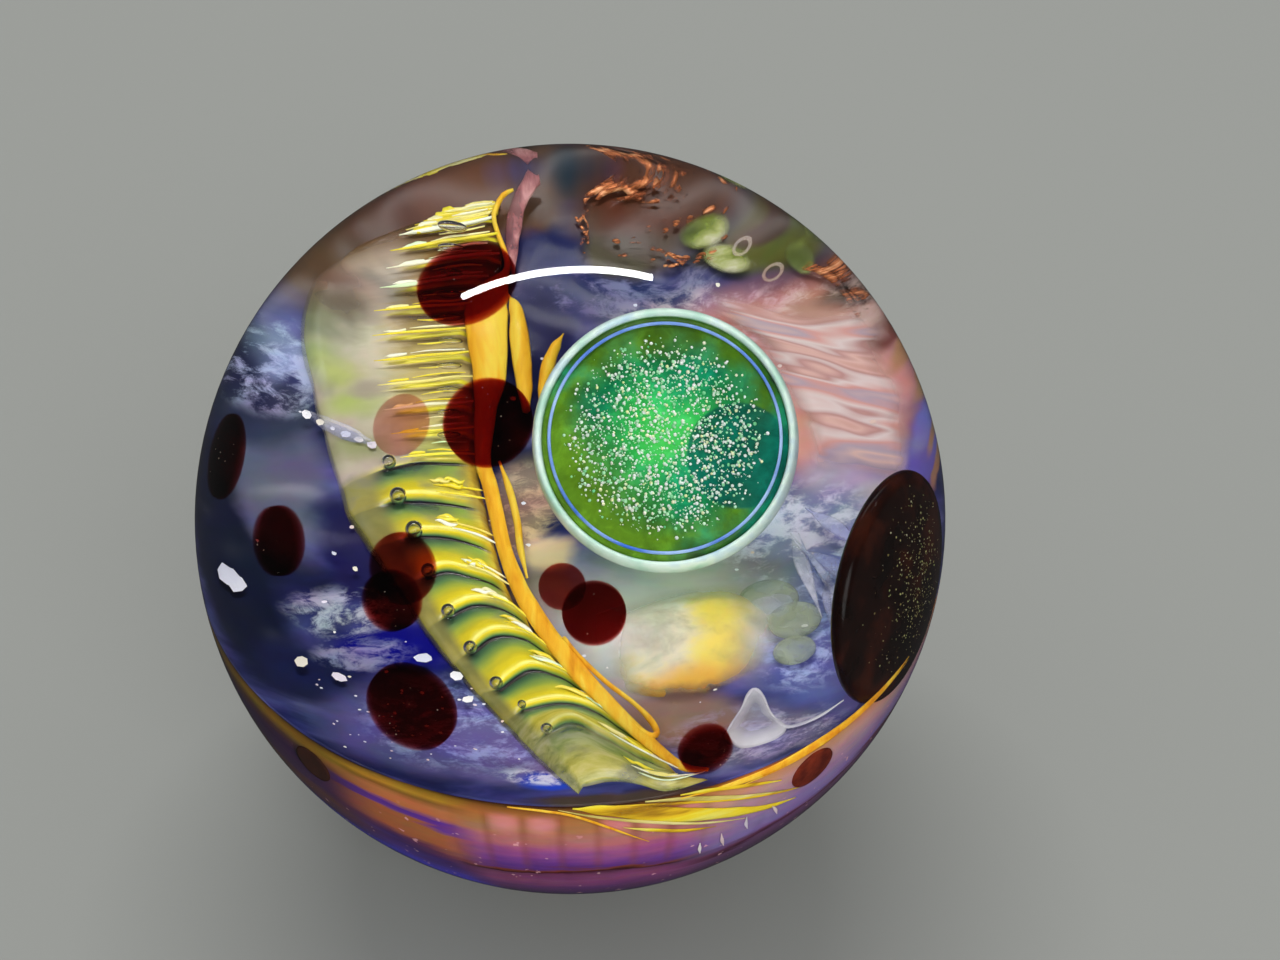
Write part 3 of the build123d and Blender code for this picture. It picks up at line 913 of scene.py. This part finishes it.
# Chips and drops
# Small things scattered on the face: white and cream chips of frit, drops of lime glass, and copper leaf that
# broke into flakes.


def chip(middle, size, draw, flat=0.08, narrow=1.0):
    """Points and faces of an angular chip, made narrow from front to back."""
    points, faces = ball(Vector(), size, draw.uniform(0.9, 1.5), flat, 4, 7)
    turn = Matrix.Rotation(draw.uniform(0, math.tau), 3, "Z")
    turned_points = [turn @ (p * draw.uniform(0.75, 1.15)) for p in points]
    return [Vector((p.x, p.y * narrow, p.z)) + middle for p in turned_points], faces


draw = random.Random(21)
chips = [chip(inside(s, 0.0002), size, draw) for s, size in (
    ((-0.694, -0.125), 0.00085), ((-0.675, -0.145), 0.00070), ((-0.57, -0.40), 0.00036),
    ((-0.49, -0.45), 0.00028), ((-0.30, -0.38), 0.00030), ((-0.24, -0.44), 0.00028),
    ((-0.22, -0.52), 0.00024))]
for _ in range(48):
    spot = (draw.uniform(-0.55, -0.12), draw.uniform(-0.78, -0.38))
    if spot[0] < -0.05 - 0.30 * (spot[1] + 0.9):
        chips.append(chip(inside(spot, 0.0001), draw.uniform(0.00004, 0.00010), draw))
for _ in range(60):
    angle, far = draw.uniform(0, math.tau), math.sqrt(draw.random()) * 0.62
    chips.append(chip(inside((far * math.cos(angle), far * math.sin(angle)), 0.0001),
                      draw.uniform(0.00004, 0.00012), draw))
chip_glass, tree, shader = new_glass("chip_glass", Roughness=0.35)
luck = island_luck(tree)
coat(tree, shader, luck, [(0.0, "f2ead0"), (0.3, "ffffff"), (0.6, "dfe2f2"), (0.85, "e9c9b8"),
                          (1.0, "f6f2ff")])
marks = (((17.9, -15.9), (18.5, -20.0)), ((21.2, -14.9), (22.5, -20.1)), ((25.0, -12.4), (25.9, -16.8)),
         ((29.4, -12.6), (31.1, -16.4)))
for start, end in marks:
    middle = ((start[0] + end[0]) / 2 + draw.uniform(-0.3, 0.3), (start[1] + end[1]) / 2)
    chips.append(strand([on_side(*s) for s in (start, middle, end)], [6e-5, 20e-5, 5e-5], 0.00008, 24, 8))
streak = [inside(s, 0.00032) for s in ((-0.445, 0.295), (-0.415, 0.268), (-0.385, 0.246), (-0.345, 0.220))]
for spot in along_points(streak, 6):
    chips.append(chip(spot, draw.uniform(0.00006, 0.00018), draw))
points, faces = gather(chips)
white_chips = add_piece("white_chips", points, faces, [chip_glass], "white_glass")
white_chips.data.shade_flat()

copper_lines = [
    [(0.022, 0.690), (0.034, 0.707), (0.066, 0.714), (0.109, 0.710), (0.148, 0.702), (0.178, 0.691)],
    [(0.060, 0.704), (0.085, 0.704), (0.110, 0.700), (0.135, 0.696)],
    [(0.024, 0.694), (0.030, 0.676), (0.032, 0.655), (0.028, 0.640)],
    [(0.360, 0.575), (0.392, 0.548), (0.425, 0.516), (0.455, 0.480)],
    [(0.386, 0.570), (0.420, 0.536), (0.452, 0.500)],
    [(0.130, 0.640), (0.160, 0.626), (0.185, 0.610)],
]
flakes = []
for line in copper_lines:
    for _ in range(2):
        shifted = [inside((x + draw.uniform(-0.008, 0.008), y + draw.uniform(-0.006, 0.006)), 0.00004)
                   for x, y in line]
        widths = [draw.uniform(0.4e-4, 1.6e-4) for _ in line]
        flakes.append(strand(shifted, widths, 0.00005, 60, 8))
for _ in range(40):
    spot = (draw.uniform(0.06, 0.24), draw.uniform(0.60, 0.69))
    flakes.append(chip(inside(spot, 0.00005), draw.uniform(0.00003, 0.00014), draw, 0.2, 0.7))
copper, tree, shader = new_glass("copper", Metallic=0.3, Roughness=0.4)
flow = swirls(tree, (1.0, 4.5, 1.0), 12.0, 0.08, 22.0, 6.0, 0.7)
coat(tree, shader, flow, [(0.42, "4a2014"), (0.50, "8a4424"), (0.57, "c07244"), (0.64, "e8a678"),
                          (0.75, "8a4a2a")])
paint(tree, shader, "Alpha", fade(tree, flow, 0.46, 0.57, 0.0, 0.9))
add_piece("copper_flakes", *gather(flakes), [copper], "orange_glass")

drops = [((0.205, 0.650), 0.00048, 1.65, -0.15), ((0.245, 0.608), 0.00042, 2.2, -0.5),
         ((0.344, 0.584), 0.00024, 3.0, -0.8)]


def drop(middle, radius, stretch, turn):
    """Points and faces of a flat drop, stretched and turned on the face."""
    points, faces = ball(Vector(), radius, stretch, 0.10, 12, 32)
    spin = Matrix.Rotation(turn, 3, "Z")
    near = [math.hypot(p.x / stretch, p.y) / radius for p in points]
    return [middle + spin @ p for p in points], faces, near


lime_glass, tree, shader = new_glass("lime_drop_glass", Roughness=0.2)
flow = swirls(tree, (1.0, 1.6, 1.0), 8.0, 0.08, 12.0, 4.0)
coat(tree, shader, flow, [(0.30, "5c6e24"), (0.44, "8c9c3a"), (0.54, "b8be74"), (0.64, "dcd8b4"),
                          (0.80, "8a9440")])
near = stored(tree, "edge_near")
paint(tree, shader, "Alpha", times(tree, fade(tree, flow, 0.30, 0.60, 0.45, 0.8),
                                   fade(tree, near, 1.0, 0.55)))
shapes = [drop(inside(s, 0.00003), r, w, t) for s, r, w, t in drops]
points, faces = gather([shape[:2] for shape in shapes])
lime_drops = add_piece("lime_drops", points, faces, [lime_glass], "lime_glass")
near = [part for shape in shapes for part in shape[2]]
give(lime_drops, "edge_near", near)


def hoop(middle_radius, half_width, half_height, lift, segments=128, sides=14):
    """Points and faces of a ring of oval section."""
    points, faces = [], []
    for i in range(segments):
        turn = math.tau * i / segments
        for k in range(sides):
            angle = math.tau * k / sides
            radius = middle_radius + half_width * math.cos(angle)
            points.append(Vector((radius * math.cos(turn), radius * math.sin(turn),
                                  lift + half_height * math.sin(angle))))
    for i in range(segments):
        for k in range(sides):
            n, m = (i + 1) % segments, (k + 1) % sides
            faces.append((i * sides + k, n * sides + k, n * sides + m, i * sides + m))
    return points, faces


cream_rings = []
for shares, radius in (((0.264, 0.617), 0.00022), ((0.316, 0.570), 0.00025)):
    ring_points, ring_faces = hoop(radius, 0.00005, 0.00002, 0.0, 40, 10)
    cream_rings.append(([inside(shares, 0.00016) + p for p in ring_points], ring_faces))
cream_glass, tree, shader = new_glass("cream_glass", Roughness=0.3, Alpha=0.28)
flow = speckle(tree, shares_of_ball(tree), 20.0, 4.0)
coat(tree, shader, flow, [(0.35, "e0b09a"), (0.5, "f0d8c0"), (0.7, "dcc8d4")])
add_piece("cream_hoops", *gather(cream_rings), [cream_glass], "pale_glass")

lobes = [((0.375, -0.235), 0.0013, 1.0), ((0.435, -0.300), 0.0012, 1.0), ((0.445, -0.400), 0.0010, 1.0)]
lobe_glass, tree, shader = new_glass("lobe_glass", Roughness=0.2, Alpha=0.45)
flow = speckle(tree, shares_of_ball(tree), 7.0, 3.0)
coat(tree, shader, flow, [(0.3, "7d8a72"), (0.5, "b4bfa0"), (0.7, "93a0b0")])
add_piece("grey_lobes", *gather([ball(inside(s, 0.0002), r, w, 0.3, 14, 28) for s, r, w in lobes]),
          [lobe_glass], "pale_glass")

# Milky streaks: two on the left along the line of chips, and others by chance on the right
milky = [strand([p + Vector((0, shift, 0)) for p in streak], [1e-4, 5e-4, 6e-4, 1e-4], 0.00008)
         for shift in (0, 2e-4)]
for _ in range(16):
    t = draw.random()
    start = Vector((0.40 + 0.16 * t, 0.02 - 0.30 * t + draw.uniform(-0.08, 0.08)))
    end = start + Vector((draw.uniform(0.06, 0.22), draw.uniform(-0.34, -0.12)))
    if end.length < 0.88:
        bow = Vector((draw.uniform(-0.03, 0.03), draw.uniform(-0.02, 0.02)))
        line = [inside(start, 0.0002), inside(start.lerp(end, 0.5) + bow, draw.uniform(0.0002, 0.0012)),
                inside(end, 0.0002)]
        milky.append(strand(line, [5e-5, draw.uniform(2e-4, 9e-4), 5e-5], 0.00008, 30, 8))
milky_glass, tree, shader = new_glass("milky_glass", Roughness=0.3)
luck = island_luck(tree)
coat(tree, shader, luck, [(0.0, "b8bce0"), (0.4, "f0f0fa"), (0.7, "9aa8e0"), (1.0, "dcd2ea")])
flow = speckle(tree, shares_of_ball(tree), 12.0, 3.0)
paint(tree, shader, "Alpha", fade(tree, flow, 0.35, 0.70, 0.05, 0.45))
add_piece("milky_streaks", *gather(milky), [milky_glass], "white_glass")

# Green disc
# A crowned disc of emerald glass full of fine glitter, which floats in the clear glass and leans towards
# the front. The glitter lies in a thin layer under the crown.
disc_low, disc_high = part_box("green_disc")
disc_middle = (disc_low + disc_high) / 2
disc_lean = math.radians(36)
disc_radius = (disc_high.x - disc_low.x) / 2
disc_thickness = 0.0018
disc_frame = Matrix.Translation(disc_middle) @ Matrix.Rotation(disc_lean, 4, "X")
crown_rings = 24
crown_height = 0.0005


def crown(radius):
    return disc_thickness / 2 - crown_height * (radius / disc_radius) ** 2


disc_profile = [(0.0, -disc_thickness / 2), (disc_radius * 0.9, -disc_thickness / 2),
                (disc_radius, -disc_thickness / 4)]
disc_profile += [(disc_radius * (1 - k / crown_rings), crown(disc_radius * (1 - k / crown_rings)))
                 for k in range(crown_rings)]
disc_profile.append((0.0, crown(0.0)))
points, faces = turned(disc_profile, 96)
green_glass, tree, shader = new_glass("green_glass")
spot = add(tree, "ShaderNodeTexCoord").outputs["Object"]
spot = add(tree, "ShaderNodeMapping", {"Vector": spot, "Scale": (1 / disc_radius,) * 3}).outputs["Vector"]
reach = vector(tree, "LENGTH", warped(tree, spot, 2.0, 0.35), output="Value")
parts = add(tree, "ShaderNodeSeparateXYZ", {0: spot}).outputs
colour = ramp(tree, reach, [(0.0, "6ce474"), (0.35, "3ecc66"), (0.66, "188a48"), (0.86, "5a8c1c"),
                            (0.97, "2f6a26"), (1.0, "1c3a2a")])
cloudy = speckle(tree, spot, 1.6, 5.0)
colour = mix(tree, fade(tree, cloudy, 0.46, 0.70, 0.0, 0.8), colour, "0a9a74")
lower_left = plus(tree, times(tree, parts["X"], 0.8), times(tree, parts["Y"], 0.6))
colour = mix(tree, fade(tree, lower_left, -0.25, -0.85, 0.0, 0.8), colour, "74a828")
colour = mix(tree, fade(tree, parts["Y"], 0.55, 0.95, 0.0, 0.8), colour, "4c7016")
# Painted shade: a darker teal circle on the right of the disc stands in for the shadow of a nearby dot
offset = vector(tree, "SUBTRACT", spot, (0.60, -0.16, 0))
flat = vector(tree, "MULTIPLY", offset, (1, 1, 0))
lens = vector(tree, "LENGTH", flat, output="Value")
colour = mix(tree, fade(tree, lens, 0.45, 0.42, 0.0, 0.85), colour, "056456")
mottle = speckle(tree, warped(tree, spot, 2.5, 0.4), 3.5, 7.0, 0.65)
colour = mix(tree, 0.55, colour, ramp(tree, mottle, [(0.34, "3c3c3c"), (0.5, "808080"), (0.66, "d0d0d0")]),
             "OVERLAY")
paint(tree, shader, "Base Color", colour)


def let_light_through(tree, shader, colour):
    """Lets lamp light pass through a glass, tinted with a colour."""
    through = add(tree, "ShaderNodeBsdfTransparent", {"Color": colour})
    lamp_ray = add(tree, "ShaderNodeLightPath").outputs["Is Shadow Ray"]
    both = add(tree, "ShaderNodeMixShader", {0: lamp_ray, 1: shader.outputs[0], 2: through.outputs[0]})
    tree.links.new(both.outputs[0], tree.nodes["Material Output"].inputs["Surface"])


let_light_through(tree, shader, hex_colour("c8e8c8"))
add_piece("disc_lens", points, faces, [green_glass], "green_glitter_glass", ["green_disc"], disc_frame)


def glitter(count, place_of, size_range, tilt, seed):
    """Points and faces of many small six-sided flakes, a little thicker in the middle."""
    draw = random.Random(seed)
    points, faces = [], []
    for _ in range(count):
        middle = place_of(draw)
        size = size_range[0] + (size_range[1] - size_range[0]) * draw.random() ** 1.6
        turn = (Matrix.Rotation(draw.uniform(0, math.tau), 3, "Z")
                @ Matrix.Rotation(draw.uniform(0, tilt), 3, "X")
                @ Matrix.Rotation(draw.uniform(0, math.tau), 3, "Z"))
        first = len(points)
        points += [middle + turn @ Vector((0, 0, size * height)) for height in (0.15, -0.15)]
        for k in range(6):
            angle = math.pi * k / 3
            points.append(middle + turn @ Vector((size * math.cos(angle), size * math.sin(angle), 0)))
        for k in range(6):
            a, b = first + 2 + k, first + 2 + (k + 1) % 6
            faces += [(first, a, b), (first + 1, b, a)]
    return points, faces


def in_crown(draw):
    angle = draw.uniform(0, math.tau)
    radius = disc_radius * 0.86 * math.sqrt(draw.random()) * draw.uniform(0.75, 1.0)
    low = crown(radius)
    return Vector((radius * math.cos(angle), radius * math.sin(angle),
                   draw.uniform(low + 2e-5, disc_thickness / 2 + 5e-5)))


flake_metal, tree, shader = new_glass("flake_metal", Roughness=0.3, Specular_IOR_Level=0.5)
luck = island_luck(tree)
coat(tree, shader, luck, [(0.0, "6ad890"), (0.25, "c0f8c8"), (0.5, "f2fff4"), (0.8, "ffffff"),
                          (1.0, "f8ffb0")])
points, faces = glitter(2800, in_crown, (1.6e-5, 9e-5), 0.8, 7)
add_piece("disc_glitter", points, faces, [flake_metal], "green_glitter_glass", (), disc_frame)

# Pale ring
# A milky ring round the disc, where its glass and the clear glass met and paled. It is smooth and even, and
# a thin blue line from the same melt runs inside it.
ring_low, ring_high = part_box("pale_ring")
ring_outer = (ring_high.x - ring_low.x) / 2
ring_half_height = 0.00058
ring_glass, tree, shader = new_glass("ring_glass")
flow = speckle(tree, shares_of_ball(tree), 12.0, 3.0)
coat(tree, shader, flow, [(0.3, "a4d8c0"), (0.55, "def4e8"), (0.75, "b4d4e4")])
let_light_through(tree, shader, hex_colour("d8ece4"))
points, faces = hoop((disc_radius + ring_outer) / 2, (ring_outer - disc_radius) / 2, ring_half_height, 0.0)
add_piece("ring_hoop", points, faces, [ring_glass], "pale_glass", ["pale_ring"], disc_frame)
line_glass, tree, shader = new_glass("line_glass")
flow = speckle(tree, shares_of_ball(tree), 8.0, 3.0)
coat(tree, shader, flow, [(0.35, "3f6fd0"), (0.65, "a9c9f2")])
points, faces = hoop(disc_radius * 0.945, 0.00007, 0.00007, crown(disc_radius * 0.945) + 0.00006)
add_piece("blue_line", points, faces, [line_glass], "pale_glass", (), disc_frame)

# Brown dots
# Short pieces of dark red-brown rod melted into the surface. The glass is clear but so dark that it shows red
# only where it is thin, and two of them keep a second rounded end deeper in, near a faint thin disc.
dot_radius = 0.00205
dot_depth = 0.0015
# Degrees round from the front, degrees above the middle, and size
dot_places = [
    (-51, 72, 1.22), (-19, 54, 1.05), (-29, 27, 0.72), (3, 29, 0.74), (-24, 12, 1.14), (18, 5, 0.66),
    (36, -8, 0.66), (-76, 26, 1.08), (-53, 26, 0.85), (-42, -8, 0.58), (112, -16, 1.05), (140, -24, 0.72),
    (176, -14, 1.15), (-136, -18, 1.00),
]


def plug(turn, rise, radius, depth, skin, segments=48):
    """Points and faces of a dot that follows the ball and ends flat, with a rounded edge, inside."""
    outward = on_side(turn, rise, 0.0).normalized()
    spin = outward.to_track_quat("Z", "Y").to_matrix()
    outer = ball_radius - skin
    soft = min(0.3 * depth, 0.2 * radius)
    profile = [(0.0, -depth)]
    for k in range(7):
        bend = math.pi / 2 * k / 6
        profile.append((radius - soft + soft * math.sin(bend), -depth + soft - soft * math.cos(bend)))
    for k in range(8):
        r = radius * (1 - k / 8)
        profile.append((r, math.sqrt(outer ** 2 - r * r) - outer))
    profile.append((0.0, 0.0))
    points, faces = turned(profile, segments)
    return [spin @ (p + Vector((0, 0, outer))) for p in points], faces


brown_glass = bpy.data.materials.new("brown_glass")
brown_glass.use_nodes = True
tree = brown_glass.node_tree
tree.nodes.remove(tree.nodes["Principled BSDF"])
clear = add(tree, "ShaderNodeBsdfTransparent", {"Color": (1, 1, 1, 1)})
tree.links.new(clear.outputs[0], tree.nodes["Material Output"].inputs["Surface"])
dark = add(tree, "ShaderNodeVolumeAbsorption", {"Color": (0.66, 0.04, 0.02, 1), "Density": 4200.0})
tree.links.new(dark.outputs[0], tree.nodes["Material Output"].inputs["Volume"])
dot_glass, tree, shader = new_glass("dot_glass", Roughness=0.15)
flow = speckle(tree, shares_of_ball(tree), 16.0, 3.0)
across = add(tree, "ShaderNodeSeparateXYZ", {0: shares_of_ball(tree)}).outputs["X"]
colour = ramp(tree, flow, [(0.35, "54190e"), (0.6, "7c2c18"), (0.8, "943c22")])
paint(tree, shader, "Base Color", mix(tree, fade(tree, across, 0.1, -0.3, 0.0, 0.85), colour, "2e1c12"))
shapes = [plug(turn, rise, dot_radius * size, dot_depth, 0.0001) for turn, rise, size in dot_places]
deep_ends = [plug(-30.8, 30.5, 0.0017, 0.0009, 0.0026), plug(-2, 32, 0.0011, 0.0008, 0.0024),
             plug(-43, 50, 0.0015, 0.00025, 0.0030)]
points, faces = gather(shapes + deep_ends)
dot_plugs = add_piece("dot_plugs", points, faces, [brown_glass, dot_glass], "brown_glass", ["brown_dots"])
in_base = [rise < 0 for turn, rise, size in dot_places for _ in range(len(shapes[0][1]))]
in_base += [False] * (len(faces) - len(in_base))
dot_plugs.data.polygons.foreach_set("material_index", in_base)


def on_dots(draw):
    turn, rise, size = draw.choice([place for place in dot_places if place[1] > 0])
    reach = math.degrees(dot_radius * size / ball_radius) * 0.75
    return on_side(turn + draw.uniform(-reach, reach) / math.cos(math.radians(rise)),
                   rise + draw.uniform(-reach, reach), 0.00006)


speck_metal, tree, shader = new_glass("speck_metal", Metallic=0.6, Roughness=0.3)
luck = island_luck(tree)
coat(tree, shader, luck, [(0.0, "e8d8c0"), (0.6, "fff6e8"), (1.0, "d8a890")])
points, faces = glitter(60, on_dots, (2e-5, 5e-5), 1.2, 17)
add_piece("dot_sparkle", points, faces, [speck_metal], "brown_glass")

# Large brown dot
# A dot of almost black brown glass, about three times as wide as the others, full of fine gold glitter.
# It is a slice of thick rod, pressed in and melted flush with the surface.
large_place = (58, 11)
large_radius = 0.0061
large_depth = 0.0020
large_glass, tree, shader = new_glass("large_glass", Roughness=0.15)
flow = swirls(tree, (1.0, 1.0, 1.0), 3.0, 0.3, 5.0, 4.0)
coat(tree, shader, flow, [(0.3, "080403"), (0.5, "1a0906"), (0.62, "34140a"), (0.78, "1a150a")])
points, faces = plug(*large_place, large_radius, large_depth, 0.00022, 96)
add_piece("large_plug", points, faces, [large_glass], "dark_glitter_glass", ["large_brown_dot"])
large_spin = on_side(*large_place).normalized().to_track_quat("Z", "Y").to_matrix().to_4x4()


def on_large_dot(draw):
    far = large_radius
    while far > large_radius * 0.9:
        x, y = draw.gauss(0.22, 0.30) * large_radius, draw.gauss(-0.05, 0.36) * large_radius
        far = math.hypot(x, y)
    return Vector((x, y, math.sqrt((ball_radius - 0.00012) ** 2 - far ** 2)))


gold_flake, tree, shader = new_glass("gold_flake", Metallic=0.2, Roughness=0.3)
luck = island_luck(tree)
coat(tree, shader, luck, [(0.0, "8a7a3a"), (0.5, "d8cf8a"), (0.8, "b9c87a"), (1.0, "fff6d0")])
points, faces = glitter(520, on_large_dot, (1.8e-5, 7e-5), 0.9, 11)
add_piece("dot_glitter", points, faces, [gold_flake], "dark_glitter_glass", (), large_spin)

# Clear dome
# Clear glass gathered over everything and turned to a ball. It was finished in the flame, so there is no
# mark on its surface.
clear_glass, tree, shader = new_glass("clear_glass", Transmission_Weight=1.0, Roughness=0.0)
shader.inputs["Base Color"].default_value = (1.0, 1.0, 1.0, 1.0)
let_light_through(tree, shader, (1, 1, 1, 1))
dome_rows = 96
dome_profile = [(ball_radius * math.sin(math.pi * k / dome_rows),
                 -ball_radius * math.cos(math.pi * k / dome_rows))
                for k in range(dome_rows + 1)]
dome_profile[0] = (0.0, -ball_radius)
dome_profile[-1] = (0.0, ball_radius)
points, faces = turned(dome_profile, 192)
add_piece("dome_ball", points, faces, [clear_glass], "clear_glass", ["clear_dome"])

# Stage
# A plain pale floor under the ball, a long soft lamp above and behind it, and an even surround that is darker
# in reflections, as in a studio with dark walls.
floor_half = 1.5
floor_mesh = bpy.data.meshes.new("floor")
floor_corners = [(x * floor_half, y * floor_half, cad_low.z)
                 for x, y in ((-1, -1), (1, -1), (1, 1), (-1, 1))]
floor_mesh.from_pydata(floor_corners, [], [(0, 1, 2, 3)])
floor = bpy.data.objects.new("floor", floor_mesh)
bpy.context.scene.collection.objects.link(floor)
floor_paint, tree, shader = new_glass("floor_paint", Roughness=0.7)
shader.inputs["Base Color"].default_value = hex_colour("929490")
floor_mesh.materials.append(floor_paint)
floor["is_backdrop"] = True
floor.visible_glossy = False

strip = bpy.data.lights.new("strip_lamp", "AREA")
strip.shape = "RECTANGLE"
strip.size = 0.42
strip.size_y = 0.024
strip.energy = 1.3
strip_piece = bpy.data.objects.new("strip_lamp", strip)
strip_piece.location = (-0.02, 0.24, 0.46)
strip_piece.rotation_euler = (-strip_piece.location).to_track_quat("-Z", "Y").to_euler()
bpy.context.scene.collection.objects.link(strip_piece)

front = bpy.data.lights.new("front_lamp", "AREA")
front.shape = "DISK"
front.size = 0.5
front.energy = 2.3
front_piece = bpy.data.objects.new("front_lamp", front)
front_piece.location = (0.12, -0.52, 0.26)
front_piece.rotation_euler = (-front_piece.location).to_track_quat("-Z", "Y").to_euler()
front_piece.visible_glossy = False
bpy.context.scene.collection.objects.link(front_piece)

world = bpy.data.worlds.new("surround")
world.use_nodes = True
world.node_tree.nodes["Background"].inputs["Color"].default_value = (1.0, 1.0, 1.0, 1.0)
glossy = add(world.node_tree, "ShaderNodeLightPath").outputs["Is Glossy Ray"]
level = fade(world.node_tree, glossy, 0.0, 1.0, 0.56, 0.03)
world.node_tree.links.new(level, world.node_tree.nodes["Background"].inputs["Strength"])
bpy.context.scene.world = world

# Camera
# It looks down on the ball at the photograph's angle, with the ball a little left of and below the middle.
# The ball's size in the picture gives the lens.
picture_width = 1280
ball_in_picture = (571 - 640, 480 - 516)
ball_radius_in_picture = 375
camera_rise = math.radians(42)
camera_reach = 6 * ball_radius
focus_in_picture = ball_radius_in_picture / math.tan(math.asin(ball_radius / camera_reach))
towards = Vector((0, -math.cos(camera_rise), math.sin(camera_rise)))
upwards = Vector((0, math.sin(camera_rise), math.cos(camera_rise)))
aim = Vector((-ball_in_picture[0], 0, 0)) - upwards * ball_in_picture[1]
aim *= camera_reach / focus_in_picture
camera = bpy.data.cameras.new("camera")
camera.sensor_width = 36.0
camera.lens = camera.sensor_width * focus_in_picture / picture_width
camera.clip_start = 0.005
camera_piece = bpy.data.objects.new("camera", camera)
camera_piece.location = towards * camera_reach
camera_piece.rotation_euler = (aim - camera_piece.location).to_track_quat("-Z", "Y").to_euler()
bpy.context.scene.collection.objects.link(camera_piece)
bpy.context.scene.camera = camera_piece
bpy.context.scene.view_settings.view_transform = "Standard"

low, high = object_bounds()
